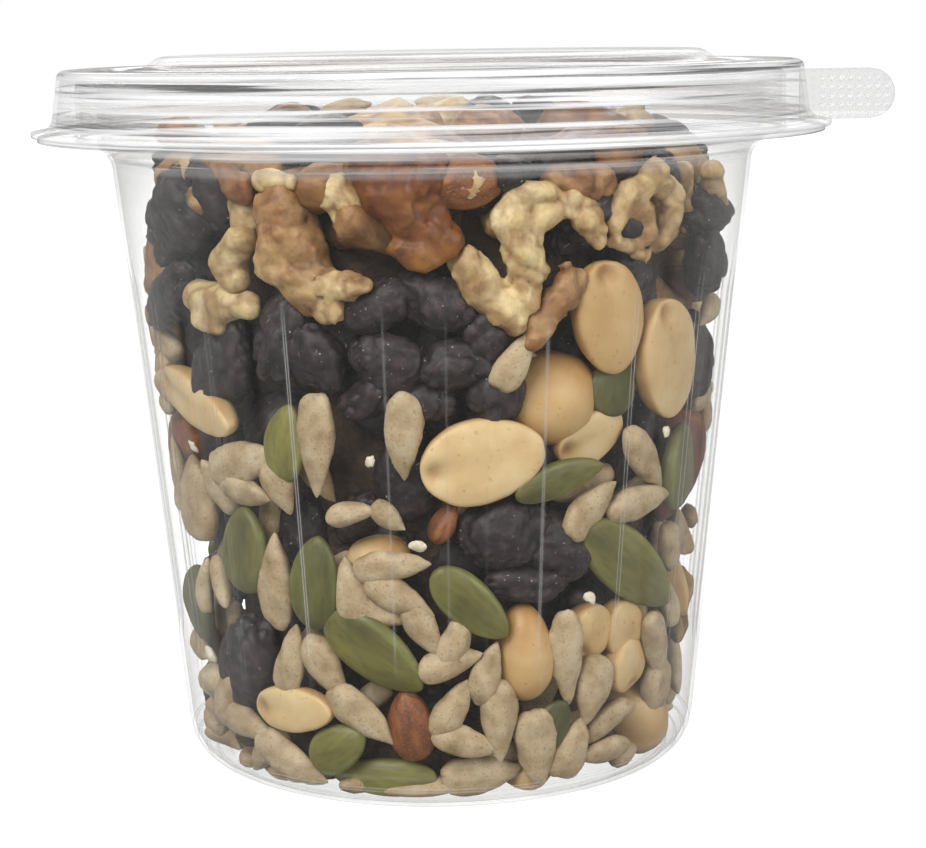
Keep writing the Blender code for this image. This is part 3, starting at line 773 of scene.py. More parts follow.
def round_points(size, u, a, girth, flatness=1.0):
    """Points round a long solid of this girth. Its thickness follows the girth to a power."""
    length, width, thick = size
    return np.stack((u * length / 2, width / 2 * girth * np.cos(a),
                     thick / 2 * girth ** flatness * np.sin(a)), axis=1)


class Form:
    """One thing's points in metres along its own X, across Y and outwards Z, with its looks."""

    def __init__(self, points, faces, flesh=None, crevice_shade=None):
        self.points = points
        self.faces = faces
        self.flesh = np.zeros(len(points)) if flesh is None else flesh
        self.crevice_shade = np.zeros(len(points)) if crevice_shade is None else crevice_shade


def seed_offset(dice):
    """A far-off place in the noise, so that no two things share their grain."""
    return dice.uniform(-400, 400, 3)


def sunflower(size, dice, detail):
    """A hulled sunflower kernel: blunt at one end, pointed at the other, with faint long ridges."""
    u, a, faces = long_grid(int(22 * detail), int(18 * detail))
    girth = tapered(u, 0.8 if detail == 1 else dice.uniform(0.5, 0.85), 0.42)
    ridges = 1 + 0.05 * np.cos(6 * a + dice.uniform(0, 6)) * girth
    points = round_points(size, u, a, girth, 0.85)
    points[:, 1:] *= ridges[:, None]
    at = points / MM + seed_offset(dice)
    dents = layered_noise(at * 0.45, 3, 3)
    points *= (1 + 0.07 * dents)[:, None]
    points[:, 2] += dice.uniform(-0.5, 0.5) * MM * u ** 2
    points[:, 1] += dice.uniform(-0.5, 0.5) * MM * u ** 2
    # The dents' share, kept for the shade that the look paints into them.
    return Form(points, faces, crevice_shade=np.clip(-dents, 0, 1))


def pumpkin(size, dice, detail):
    """A hulled pumpkin seed: a flat lens, pointed at one end, with a raised rim."""
    length, width, thick = size
    u, a, faces = long_grid(int(24 * detail), int(24 * detail))
    girth = tapered(u, 0.62, 0.48)
    across = np.cos(a)
    lens = np.sign(np.sin(a)) * np.abs(np.sin(a)) ** 0.9
    rim = np.exp(-((np.abs(across) - 0.86) / 0.1) ** 2)
    points = np.stack((u * length / 2, width / 2 * girth * across,
                       thick / 2 * girth ** 0.7 * lens * (1 + 0.1 * rim)), axis=1)
    at = points / MM + seed_offset(dice)
    points[:, 2] += 0.25 * MM * noise(at * 0.22, 5) + 0.07 * MM * noise(at * 0.8, 6)
    points[:, 2] += dice.uniform(-0.5, 0.7) * MM * u ** 2
    points[:, 1] += dice.uniform(-0.35, 0.35) * MM * u ** 2
    return Form(points, faces, flesh=rim * girth)


def almond(size, dice, detail):
    """A whole almond in its skin, with long wrinkles."""
    u, a, faces = long_grid(int(28 * detail), int(40 * detail))
    girth = tapered(u, 0.72, 0.5)
    points = round_points(size, u, a, girth, 0.9)
    at = points / MM + seed_offset(dice)
    wrinkle = folds(at * (0.1, 0.75, 0.75) + 0.3 * noise(at * 0.3, 8)[:, None], 7)
    points *= (1 - 0.045 * wrinkle * girth)[:, None]
    # The wrinkles, kept for the shade that the look paints into them.
    return Form(points, faces, crevice_shade=wrinkle)


def peanut_half(size, dice, detail):
    """Half a peanut: flat inner face outwards with its groove and germ notch, domed behind."""
    length, width, thick = size
    u, a, faces = long_grid(int(30 * detail), int(36 * detail))
    girth = np.sqrt(np.clip(1 - u ** 2, 0, 1)) * (1 - 0.10 * u)
    y = width / 2 * girth * np.cos(a)
    rise = np.sin(a)
    inner = rise > 0.01
    z = np.where(inner, 0.25 * thick * np.abs(rise) ** 0.5 * girth ** 0.6,
                 0.75 * thick * rise * girth ** 0.8)
    groove = np.exp(-(y / (1.3 * MM)) ** 2) * np.clip(1 - u ** 4, 0, 1) * np.clip(0.35 - 0.9 * u, 0, 1)
    notch = np.exp(-((u + 0.80) / 0.16) ** 2 - (y / (1.5 * MM)) ** 2)
    z -= np.where(inner, (0.5 * groove + 0.9 * notch) * MM, 0)
    points = np.stack((u * length / 2, y, z), axis=1)
    at = points / MM + seed_offset(dice)
    points *= (1 + 0.02 * layered_noise(at * 0.3, 9))[:, None]
    rim = np.clip(1 - np.abs(rise) * 2.2, 0, 1) * girth
    # The groove and germ notch, kept for the shade that the look paints into them.
    return Form(points, faces, flesh=np.clip(np.where(inner, 0, 0.5) + rim, 0, 1),
                crevice_shade=np.where(inner, 0.25 * groove + notch, 0))


def whole_peanut(size, dice, detail):
    """A skinned whole peanut: an egg with a seam along it and a browned end."""
    u, a, faces = long_grid(int(26 * detail), int(26 * detail))
    seam = np.exp(-(np.sin(a) / 0.16) ** 2)
    girth = np.sqrt(np.clip(1 - u ** 2, 0, 1)) * (1 - 0.12 * u) * (1 - 0.035 * seam)
    points = round_points(size, u, a, girth)
    at = points / MM + seed_offset(dice)
    points *= (1 + 0.035 * layered_noise(at * 0.22, 10))[:, None]
    # The seam, kept for the shade that the look paints into it.
    return Form(points, faces, flesh=np.clip((u - 0.1) * 1.3, 0, 1), crevice_shade=0.5 * seam * girth)


def raisin(size, dice, detail):
    """A raisin: a lump shrunk into rounded folds that run mostly along it."""
    u, a, faces = long_grid(int(37 * detail), int(40 * detail))
    girth = np.clip(1 - u ** 2, 0, 1) ** 0.45
    points = round_points(size, u, a, girth)
    at = points / MM + seed_offset(dice)
    bent = warped(at, 11, 0.9, 0.3)
    deep = folds(bent * (0.12, 0.28, 0.28), 14)
    fine = folds(bent * (0.30, 0.70, 0.70), 15)
    points *= (1 + 0.26 * noise(at * 0.13, 16) - 0.22 * deep - 0.11 * fine)[:, None]
    # For a raisin, flesh is 1 on the ridges, where its look paints a grey haze, partly bloom and partly
    # painted sheen.
    return Form(points, faces, flesh=np.clip(1 - deep - 0.4 * fine, 0, 1),
                crevice_shade=np.clip(deep + 0.3 * fine, 0, 1))


def surface_net(field, low, step):
    """The smooth skin of the places where a field on a grid is under 0."""
    shape = tuple(count - 1 for count in field.shape)

    def at_corner(corner):
        return field[tuple(slice(offset, offset + count) for offset, count in zip(corner, shape))]

    total = np.zeros(shape + (3,))
    crossings = np.zeros(shape)
    for start in np.ndindex(2, 2, 2):
        for axis in range(3):
            if start[axis]:
                continue
            end = tuple(1 if place == axis else offset for place, offset in enumerate(start))
            here = at_corner(start)
            there = at_corner(end)
            crosses = (here < 0) != (there < 0)
            share = np.where(crosses, here / np.where(crosses, here - there, 1), 0)
            for place in range(3):
                total[..., place] += crosses * (start[place] + share * (end[place] - start[place]))
            crossings += crosses
    active = crossings > 0
    index = np.full(shape, -1)
    index[active] = np.arange(active.sum())
    points = low + step * (np.argwhere(active) + total[active] / crossings[active][:, None])
    faces = []
    for axis in range(3):
        one, two = [(axis + 1) % 3, (axis + 2) % 3]
        first = np.moveaxis(field, (axis, one, two), (0, 1, 2))
        cells = np.moveaxis(index, (axis, one, two), (0, 1, 2))
        inside = first < 0
        crosses = (inside[:-1, 1:-1, 1:-1] != inside[1:, 1:-1, 1:-1])
        leaves = inside[:-1, 1:-1, 1:-1][crosses]
        i, j, k = np.nonzero(crosses)
        quads = np.stack((cells[i, j, k], cells[i, j + 1, k],
                          cells[i, j + 1, k + 1], cells[i, j, k + 1]), axis=1)
        quads = np.where(leaves[:, None], quads, quads[:, ::-1])
        faces.append(quads[:, (0, 1, 2)])
        faces.append(quads[:, (0, 2, 3)])
    return points, np.concatenate(faces)


def stroke_distance(points, stroke):
    """How far points lie from a chain of rounded rods, each joint with its own radius."""
    nearest = np.full(points.shape[:-1], 1e3)
    for (start, first), (end, second) in zip(stroke, stroke[1:] or stroke):
        along = end - start
        reach = max(float(np.dot(along, along)), 1e-12)
        share = np.clip(((points - start) @ along) / reach, 0, 1)
        gap = np.linalg.norm(points - start - share[..., None] * along, axis=-1)
        nearest = smooth_least(nearest, gap - first - share * (second - first), 0.9 * MM)
    return nearest


def smooth_least(one, two, blend):
    """The lesser of two distances, with the crease between them rounded over blend."""
    share = np.clip(0.5 + 0.5 * (two - one) / blend, 0, 1)
    return two + (one - two) * share - blend * share * (1 - share)


def walnut_folds(at):
    """A walnut's broad folds and its fine ones, at places in millimetres."""
    return folds(warped(at, 41, 1.6) * 0.27, 22), folds(warped(at, 44, 0.8) * 0.6, 23)


def nut_form(strokes, hollows, step, dice, roughness=1.0):
    """A walnut piece: rods melted together, wrinkled and hollowed. Strokes are (flesh, rods)."""
    every = [np.array(place) for _, stroke in strokes for place, _ in stroke]
    widest = max(radius for _, stroke in strokes for _, radius in stroke)
    low = np.min(every, axis=0) - widest - 2 * step
    high = np.max(every, axis=0) + widest + 2 * step
    axes = [np.arange(start, end + step, step) for start, end in zip(low, high)]
    grid = np.stack(np.meshgrid(*axes, indexing="ij"), axis=-1)
    far = seed_offset(dice)
    distances = [stroke_distance(grid, stroke) for _, stroke in strokes]
    field = distances[0]
    for distance in distances[1:]:
        field = smooth_least(field, distance, 0.7 * MM)
    for hollow in hollows:
        field = -smooth_least(-field, stroke_distance(grid, hollow), 0.8 * MM)
    at = grid / MM + far
    broad, fine = walnut_folds(at)
    field = field - 0.55 * MM * roughness * layered_noise(at * 0.34, 21)
    field = field + 0.80 * MM * roughness * (broad - 0.35)
    field = field + 0.35 * MM * roughness * (fine - 0.35)
    points, faces = surface_net(field, low, step)
    at = points / MM + far
    weights = np.stack([np.exp(-stroke_distance(points, stroke) / (0.8 * MM)) for _, stroke in strokes])
    fleshes = np.array([flesh for flesh, _ in strokes])
    flesh = (weights * fleshes[:, None]).sum(axis=0) / weights.sum(axis=0)
    flesh = np.clip(flesh + 0.25 * layered_noise(at * 0.35, 24), 0, 1)
    broad, fine = walnut_folds(at)
    # The folds and hollows, kept for the shade that the look paints into them.
    crevice_shade = np.clip(broad ** 2 + 0.4 * fine ** 2, 0, 1)
    for hollow in hollows:
        inside = np.exp(-np.clip(stroke_distance(points, hollow), 0, None) / (0.7 * MM))
        flesh = flesh * (1 - inside)
        crevice_shade = np.maximum(crevice_shade, 0.8 * inside)
    return Form(points, faces, flesh, crevice_shade)


def walnut(size, dice, detail):
    """A broken walnut piece made of two to four curled lobes."""
    length, width, thick = size
    strokes = []
    for lobe in range(int(dice.integers(2, 5))):
        middle = np.array((dice.uniform(-0.25, 0.25) * length, dice.uniform(-0.28, 0.28) * width, 0))
        turn = dice.uniform(0, math.pi)
        curl = dice.uniform(-0.9, 0.9)
        rods = []
        for step in (-1, -0.35, 0.35, 1):
            bend = turn + curl * step
            reach = step * 0.26 * length
            place = middle + np.array((math.cos(bend) * reach, math.sin(bend) * reach * 0.8,
                                       dice.uniform(-0.12, 0.12) * thick))
            rods.append((place, thick * dice.uniform(0.28, 0.44)))
        strokes.append((float(dice.choice((0.1, 0.35, 0.9))), rods))
    return nut_form(strokes, [], 1.15 * MM / detail, dice)


def crumb(size, dice, detail):
    """A small broken chip with ragged sides."""
    u, a, faces = long_grid(10, 12)
    points = round_points(size, u, a, np.sqrt(np.clip(1 - u ** 2, 0, 1)))
    at = points / MM + seed_offset(dice)
    points *= (1 + 0.5 * noise(at * 0.8, 17) + 0.35 * noise(at * 2.0, 18))[:, None]
    return Form(points, faces)


MAKERS = {"sunflower": sunflower, "pumpkin": pumpkin, "almond": almond, "peanut_half": peanut_half,
          "whole_peanut": whole_peanut, "raisin": raisin, "walnut": walnut, "crumb": crumb}

# The usual size of each kind: length, width and thickness.
USUAL = {
    "sunflower": (9.8 * MM, 4.4 * MM, 2.9 * MM),
    "pumpkin": (13.0 * MM, 6.6 * MM, 2.7 * MM),
    "almond": (17.0 * MM, 10.5 * MM, 7.2 * MM),
    "peanut_half": (14.5 * MM, 9.0 * MM, 5.6 * MM),
    "whole_peanut": (13.0 * MM, 9.0 * MM, 8.6 * MM),
    "raisin": (13.0 * MM, 9.0 * MM, 7.0 * MM),
    "walnut": (19.0 * MM, 14.0 * MM, 9.0 * MM),
    "crumb": (2.1 * MM, 1.5 * MM, 0.8 * MM),
}


class Batch:
    """Gathers the forms of one kind into one mesh."""

    def __init__(self, name):
        self.name = name
        self.points = []
        self.faces = []
        self.looks = {"flesh": [], "crevice_shade": [], "tint": [], "grain": []}
        self.count = 0

    def add(self, form, placed, tint, dice):
        """Adds a form at its placed points, its grain kept in the form's own axes."""
        self.points.append(placed)
        self.faces.append(form.faces + self.count)
        self.count += len(placed)
        self.looks["flesh"].append(form.flesh)
        self.looks["crevice_shade"].append(form.crevice_shade)
        self.looks["tint"].append(np.full(len(placed), tint))
        self.looks["grain"].append(form.points / MM + seed_offset(dice))

    def mesh(self):
        """The mesh of all that was gathered."""
        looks = {key: np.concatenate(values) for key, values in self.looks.items()}
        return mesh_from(self.name, np.concatenate(self.points), np.concatenate(self.faces), looks)


def frame_on_wall(place):
    """Directions at a place on the wall: level to the right, up the wall, and outwards."""
    turn = math.atan2(place[0], -place[1])
    lean = math.atan((NECK_RADIUS - BASE_RADIUS) / NECK_HEIGHT)
    outwards = level_direction(turn) * math.cos(lean) + (0, 0, -math.sin(lean))
    right = np.array((math.cos(turn), math.sin(turn), 0))
    return right, np.cross(outwards, right), outwards


def past_limit(points):
    """How far the outermost point lies past where food may reach."""
    return (np.hypot(points[:, 0], points[:, 1]) - food_limit(points[:, 2])).max()


def moved_inside(points, inwards, spare, top):
    """Moves points along a direction until the outermost lies spare inside the food's limit."""
    for _ in range(3):
        points = points + inwards * (past_limit(points) + spare)
    lift = max(0, FOOD_FLOOR - points[:, 2].min()) - max(0, points[:, 2].max() - top)
    return points + np.array((0, 0, lift))


def laid_points(form, place, along, outwards):
    """A form's points with its length along a direction and its face turned outwards."""
    outwards = unit(outwards - along * np.dot(outwards, along))
    across = np.cross(outwards, along)
    return place + form.points @ np.stack((along, across, outwards))


class Cover:
    """Remembers which patches of the unrolled wall are taken, as circles."""

    def __init__(self):
        self.circles = np.zeros((0, 3))

    def patches(self, azimuth, height, tilt, length, width):
        """Three circles along a long thing on the wall."""
        reach = max(length - width, 0) / 2
        rows = []
        for share in (-1, 0, 1):
            z = height + share * reach * math.sin(tilt)
            turn = azimuth + share * reach * math.cos(tilt) / wall_radius(height)
            rows.append((turn, z, width / 2))
        return np.array(rows)

    def free(self, patches, tight):
        """Whether patches keep clear of all that lies there."""
        for turn, z, radius in patches:
            across = (self.circles[:, 0] - turn + math.pi) % (2 * math.pi) - math.pi
            across = across * wall_radius(z)
            gap = np.hypot(across, self.circles[:, 1] - z)
            if np.any(gap < tight * (self.circles[:, 2] + radius)):
                return False
        return True

    def take(self, patches):
        """Marks patches as taken."""
        self.circles = np.concatenate((self.circles, patches))


def seen_direction(view, pixel_x, pixel_y, tilt, inset):
    """The direction in the wall whose picture is tilted by so many degrees from level."""
    across = HALF_STEP * math.cos(math.radians(tilt))
    up = HALF_STEP * math.sin(math.radians(tilt))
    ahead = view.cast(pixel_x + across, pixel_y - up, inset)
    return unit(ahead - view.cast(pixel_x - across, pixel_y + up, inset))


def add_heroes(batches, cover, dice):
    """The things that the photograph shows, each where it shows them."""
    view = PhotoCamera()
    for kind, rows in HEROES.items():
        usual = USUAL[kind]
        for pixel_x, pixel_y, length_px, width_px, tilt, depth, tint in rows:
            inset = FOOD_INSET + usual[2] / 2 + depth * MM
            place = view.cast(pixel_x, pixel_y, inset)
            right, up, outwards = frame_on_wall(place)
            pixel = view.pixel_size(place)
            along = seen_direction(view, pixel_x, pixel_y, tilt, inset)
            ray = view.ray(pixel_x, pixel_y)
            seen = along - ray * np.dot(along, ray)
            across = np.cross(outwards, along)
            seen_across = across - ray * np.dot(across, ray)
            length = length_px * pixel / np.linalg.norm(seen)
            width = width_px * pixel / np.linalg.norm(seen_across)
            thick = usual[2] * (0.5 + 0.5 * width / usual[1])
            form = MAKERS[kind]((length, width, thick), dice, 1.0)
            lean = dice.normal(0, FRONT_LEAN, 2)
            points = laid_points(form, place, along, outwards + right * lean[0] + up * lean[1])
            points = moved_inside(points, ray, depth * MM, HEAP_TOP)
            points = moved_inside(points, -outwards * LEVEL, depth * MM, HEAP_TOP)
            batches[kind].add(form, points, tint, dice)
            azimuth = math.atan2(place[0], -place[1])
            slant = math.atan2(np.dot(along, up), np.dot(along, right))
            if depth < HIDDEN_DEPTH:
                cover.take(cover.patches(azimuth, place[2], slant, length, width))


def add_hero_walnuts(batches, cover, dice):
    """The large walnut pieces, each melted together from strokes read off the photograph."""
    view = PhotoCamera()

    def rods(stroke, depth):
        made = []
        for pixel_x, pixel_y, radius_px in stroke:
            pixel = view.pixel_size(view.cast(pixel_x, pixel_y, FOOD_INSET))
            radius = radius_px * pixel
            made.append((view.cast(pixel_x, pixel_y, FOOD_INSET + radius + depth * MM), radius))
        return made

    for depth, roughness, tint, strokes, hollows in HERO_WALNUTS:
        solid = [(flesh, rods(stroke, depth)) for flesh, stroke in strokes]
        hollow = [rods(stroke, depth - HOLLOW_RISE) for stroke in hollows]
        form = nut_form(solid, hollow, HERO_STEP, dice, roughness)
        batches["hero_walnut"].add(form, form.points, tint, dice)
        for _, stroke in solid:
            for place, radius in stroke:
                azimuth = math.atan2(place[0], -place[1])
                cover.take(np.array(((azimuth, place[2], 1.3 * radius),)))


def scaled_size(kind, dice):
    """The usual size of a kind, made uneven as real ones are."""
    whole = dice.normal(1, 0.10)
    return tuple(side * float(np.clip(whole * dice.normal(1, 0.06), 0.7, 1.3)) for side in USUAL[kind])


def add_fill(batches, cover, dice, plan, depth, spread, tight, detail, front_kinds=FRONT_KINDS):
    """Scatters things over the whole wall where there is room, the large kinds first.

    They lie from depth to depth + spread behind the wall, and tight is how near each other. Only
    front_kinds go at the front.
    """
    for kind, tries, (low, high) in plan:
        for _ in range(tries):
            azimuth = dice.uniform(-math.pi, math.pi)
            share = dice.uniform(low, high)
            height = FILL_FOOT + share * FILL_HEIGHT
            size = scaled_size(kind, dice)
            tilt = dice.uniform(0, 2 * math.pi)
            patches = cover.patches(azimuth, height, tilt, size[0], size[1])
            front = abs(azimuth) < FRONT_HALF
            unlike = kind not in front_kinds or (kind == "sunflower" and share > FRONT_SEED_TOP)
            if front and unlike or not cover.free(patches, tight):
                continue
            cover.take(patches)
            form = MAKERS[kind](size, dice, detail if front else detail * BACK_DETAIL)
            radius = wall_radius(height) - FOOD_INSET - size[2] / 2
            place = radius * level_direction(azimuth) + (0, 0, height)
            right, up, outwards = frame_on_wall(place)
            lean = dice.normal(0, WALL_LEAN, 2)
            along = right * math.cos(tilt) + up * math.sin(tilt) + outwards * lean[0]
            face = outwards + np.cross(along, outwards) * lean[1]
            points = laid_points(form, place, unit(along), face)
            rise = np.clip((height - SIDE_HEIGHTS[0]) / (SIDE_HEIGHTS[1] - SIDE_HEIGHTS[0]), 0, 1)
            side = math.sin(azimuth) ** 4 * rise
            spare = depth + dice.uniform(0, spread) + side * SIDE_GAP
            points = moved_inside(points, -outwards * LEVEL, spare, WALL_TOP - side * SIDE_FALL)
            batches[kind].add(form, points, dice.normal(0, TINT_SPREAD), dice)


def dome_height(radius):
    """The top of the heap at a distance from the axis."""
    share = radius / DOME_RADIUS
    return HEAP_TOP - DOME_CLEARANCE - DOME_FALL * share ** 2 - DOME_EDGE_FALL * share ** 8


def add_level_layer(batches, dice, plan, top, lower, detail, tight):
    """Scatters things over the heap's top, or under it where top is False."""
    taken = np.zeros((0, 3))
    reach = TOP_REACH if top else BASE_REACH
    for kind, tries in plan:
        for _ in range(tries):
            size = scaled_size(kind, dice)
            margin = size[0] / 2 if kind == "sunflower" else BASE_MARGIN
            radius = (reach - (0 if top else margin)) * math.sqrt(dice.uniform(0, 1))
            azimuth = dice.uniform(-math.pi, math.pi)
            spot = radius * level_direction(azimuth)[:2]
            girth = (size[0] + size[1]) / 4
            if np.any(np.hypot(*(taken[:, :2] - spot).T) < tight * (taken[:, 2] + girth)):
                continue
            taken = np.concatenate((taken, ((*spot, girth),)))
            form = MAKERS[kind](size, dice, detail)
            turn = dice.uniform(0, 2 * math.pi)
            lean = dice.normal(0, LAYER_LEAN, 2)
            along = np.array((math.cos(turn), math.sin(turn), lean[0]))
            face = np.array((lean[1], -lean[1], 1.0 if top else -1.0))
            points = laid_points(form, np.zeros(3), unit(along), face)
            if top:
                height = dome_height(radius) - lower - points[:, 2].max()
            else:
                height = FOOD_FLOOR + lower - points[:, 2].min()
            points = points + np.array((*spot, height))
            spare = SIDE_GAP * math.sin(azimuth) ** 4 if top else 0
            points = points - level_direction(azimuth) * max(past_limit(points) + spare, 0)
            batches[kind].add(form, points, dice.normal(0, TINT_SPREAD), dice)


def add_corner(batches, cover, dice):
    """Kernels in the cup's bottom corner, each lying along it."""
    for _ in range(CORNER_TRIES):
        azimuth = dice.uniform(-math.pi, math.pi)
        size = scaled_size("sunflower", dice)
        patches = cover.patches(azimuth, CORNER_HEIGHT, 0, size[0], size[1])
        if not cover.free(patches, CORNER_TIGHT):
            continue
        cover.take(patches)
        form = sunflower(size, dice, 0.9)
        outwards = unit(level_direction(azimuth) + (0, 0, dice.uniform(-1.2, -0.3)))
        level = np.array((math.cos(azimuth), math.sin(azimuth), dice.normal(0, 0.6)))
        level *= dice.choice((-1, 1)) / np.linalg.norm(level)
        place = level_direction(azimuth) * (BASE_RADIUS - CORNER_RADIUS)
        place = place + (0, 0, dice.uniform(*CORNER_HEIGHTS) * MM)
        points = laid_points(form, place, level, outwards)
        points = moved_inside(points, -outwards * LEVEL, dice.uniform(0, 0.6) * MM, WALL_TOP)
        batches["sunflower"].add(form, points, dice.normal(0, TINT_SPREAD), dice)


def linear(code):
    """The linear colour of a #rrggbb code."""
    shares = [int(code[place:place + 2], 16) / 255 for place in (1, 3, 5)]
    return tuple(share / 12.92 if share <= 0.04045 else ((share + 0.055) / 1.055) ** 2.4
                 for share in shares) + (1.0,)


# Where a Mix node has its share and its two colours.
MIX_PLACES = (0, 6, 7)


class Shading:
    """A food material under construction, its grain measured in millimetres."""

    def __init__(self, name, roughness):
        self.made = bpy.data.materials.new(name)
        self.made.use_nodes = True
        self.nodes = self.made.node_tree.nodes
        self.links = self.made.node_tree.links
        self.shader = self.nodes["Principled BSDF"]
        self.shader.inputs["Roughness"].default_value = roughness
        grain = self.nodes.new("ShaderNodeAttribute")
        grain.attribute_name = "grain"
        self.grain = grain.outputs["Vector"]

    def stored(self, name):
        """A value that the mesh carries."""
        read = self.nodes.new("ShaderNodeAttribute")
        read.attribute_name = name
        return read.outputs["Fac"]

    def noise(self, scale, detail=3, stretch=(1, 1, 1), distortion=0.0):
        """Noise with this many features to a millimetre."""
        place = self.nodes.new("ShaderNodeMapping")
        place.inputs["Scale"].default_value = stretch
        self.links.new(self.grain, place.inputs["Vector"])
        made = self.nodes.new("ShaderNodeTexNoise")
        made.inputs["Scale"].default_value = scale
        made.inputs["Detail"].default_value = detail
        made.inputs["Distortion"].default_value = distortion
        self.links.new(place.outputs[0], made.inputs["Vector"])
        return made.outputs["Fac"]

    def ramp(self, value, stops):
        """Colours or greys along a value: stops of (place, #rrggbb or grey)."""
        made = self.nodes.new("ShaderNodeValToRGB")
        elements = made.color_ramp.elements
        while len(elements) < len(stops):
            elements.new(0.5)
        for element, (place, colour) in zip(elements, stops):
            element.position = place
            element.color = linear(colour) if isinstance(colour, str) else (colour, colour, colour, 1)
        self.links.new(value, made.inputs["Fac"])
        return made.outputs["Color"]

    def feed(self, socket, value):
        """Gives a socket a number, a #rrggbb code or what another socket holds."""
        if isinstance(value, str):
            socket.default_value = linear(value)
        elif isinstance(value, (int, float)):
            socket.default_value = value
        else:
            self.links.new(value, socket)

    def mix(self, share, first, second, blend="MIX"):
        """Two colours mixed by a share."""
        made = self.nodes.new("ShaderNodeMix")
        made.data_type = "RGBA"
        made.blend_type = blend
        for place, value in zip(MIX_PLACES, (share, first, second)):
            self.feed(made.inputs[place], value)
        return made.outputs[2]

    def math(self, operation, first, second):
        """A sum, product or the like of two values."""
        made = self.nodes.new("ShaderNodeMath")
        made.operation = operation
        made.use_clamp = True
        self.feed(made.inputs[0], first)
        self.feed(made.inputs[1], second)
        return made.outputs[0]

    def tinted(self, colour, dark, pale):
        """The colour shifted by each thing's own tint towards a dark or a pale multiplier."""
        tint = self.nodes.new("ShaderNodeMapRange")
        tint.inputs["From Min"].default_value = -1
        self.links.new(self.stored("tint"), tint.inputs["Value"])
        made = self.mix(tint.outputs["Result"], dark, pale)
        return self.mix(1.0, colour, made, "MULTIPLY")

    def bump(self, strength, distance, *pattern):
        """A fine relief of this height in metres, from noise."""
        made = self.nodes.new("ShaderNodeBump")
        set_inputs(made, {"Strength": strength, "Distance": distance})
        self.links.new(self.noise(*pattern), made.inputs["Height"])
        self.links.new(made.outputs["Normal"], self.shader.inputs["Normal"])

    def stain_and_shade(self, colour, key, share, stain_and_shade_colour):
        """The colour mixed by a share of a mesh value: a real colour change, and painted shade where it
        marks crevices.
        """
        return self.mix(self.math("MULTIPLY", self.stored(key), share), colour, stain_and_shade_colour)

    def darkened(self, colour, share, pattern):
        """The colour darkened by a share of a pattern."""
        return self.mix(share, colour, pattern, "MULTIPLY")

    def finish(self, colour):
        """Sets the colour and returns the material."""
        self.links.new(colour, self.shader.inputs["Base Color"])
        return self.made


def sunflower_look():
    """Greyish tan kernels with fine dark specks, and shade painted into their dents."""
    look = Shading("sunflower_kernel", 0.58)
    colour = look.ramp(look.noise(0.35, 4), ((0.25, "#a18b68"), (0.45, "#c2ad89"), (0.7, "#d3c4a5")))
    specks = look.ramp(look.noise(2.6, 3), ((0.30, "#8b7a5f"), (0.42, "#ffffff")))
    colour = look.darkened(colour, 0.55, specks)
    # Painted shade in the dents.
    colour = look.stain_and_shade(colour, "crevice_shade", 0.5, "#8a744f")
    look.bump(0.5, 0.00022, 1.8, 4)
    return look.finish(look.tinted(colour, "#cfc2ae", "#ffffff"))


def pumpkin_look():
    """Smooth matte olive green with a lighter rim."""
    look = Shading("pumpkin_seed", 0.46)
    colour = look.ramp(look.noise(0.22, 3, (0.5, 1, 1)),
                       ((0.3, "#5d5b34"), (0.5, "#757340"), (0.72, "#8c894a")))
    colour = look.stain_and_shade(colour, "flesh", 0.55, "#949c66")
    streaks = look.ramp(look.noise(1.6, 3, (0.25, 1, 1)), ((0.35, "#b9bda4"), (0.55, "#ffffff")))
    colour = look.darkened(colour, 0.4, streaks)
    look.bump(0.3, 0.0001, 1.2, 3)
    return look.finish(look.tinted(colour, "#b4b6a6", "#fff8dc"))


def peanut_look():
    """Cream nut meat, golden at the rim and on the back, with shade painted brown into the groove, the notch
    and a whole peanut's seam.
    """
    look = Shading("peanut", 0.44)
    colour = look.ramp(look.noise(0.2, 3), ((0.3, "#d0b280"), (0.5, "#dac08e"), (0.72, "#e2cda0")))
    golden = look.ramp(look.noise(0.3, 4), ((0.3, "#b88a50"), (0.65, "#d0a86c")))
    colour = look.stain_and_shade(colour, "flesh", 0.75, golden)
    # Painted shade in the groove, the germ notch and a whole peanut's seam.
    colour = look.stain_and_shade(colour, "crevice_shade", 0.6, "#9c6c38")
    specks = look.ramp(look.noise(1.3, 3), ((0.26, "#b58a5a"), (0.36, "#ffffff")))
    colour = look.darkened(colour, 0.5, specks)
    set_inputs(look.shader, {"Subsurface Weight": 0.12, "Subsurface Radius": (0.8, 0.45, 0.2),
                             "Subsurface Scale": 0.0015})
    look.bump(0.35, 0.00015, 0.9, 4)
    return look.finish(look.tinted(colour, "#e6d6c0", "#ffffff"))


def almond_look():
    """Brown skin with shade painted into its long wrinkles, and a dusty bloom."""
    look = Shading("almond", 0.55)
    colour = look.ramp(look.noise(0.6, 4, (0.25, 1, 1)),
                       ((0.3, "#743f1c"), (0.5, "#965a2a"), (0.72, "#b0763c")))
    # Painted shade in the wrinkles.
    colour = look.stain_and_shade(colour, "crevice_shade", 0.8, "#57301a")
    dust = look.ramp(look.noise(3.2, 3), ((0.5, 0.0), (0.75, 0.4)))
    colour = look.mix(dust, colour, "#c39a66")
    look.bump(0.6, 0.00025, 1.6, 4, (0.4, 1, 1))
    return look.finish(look.tinted(colour, "#c9b3a2", "#ffffff"))


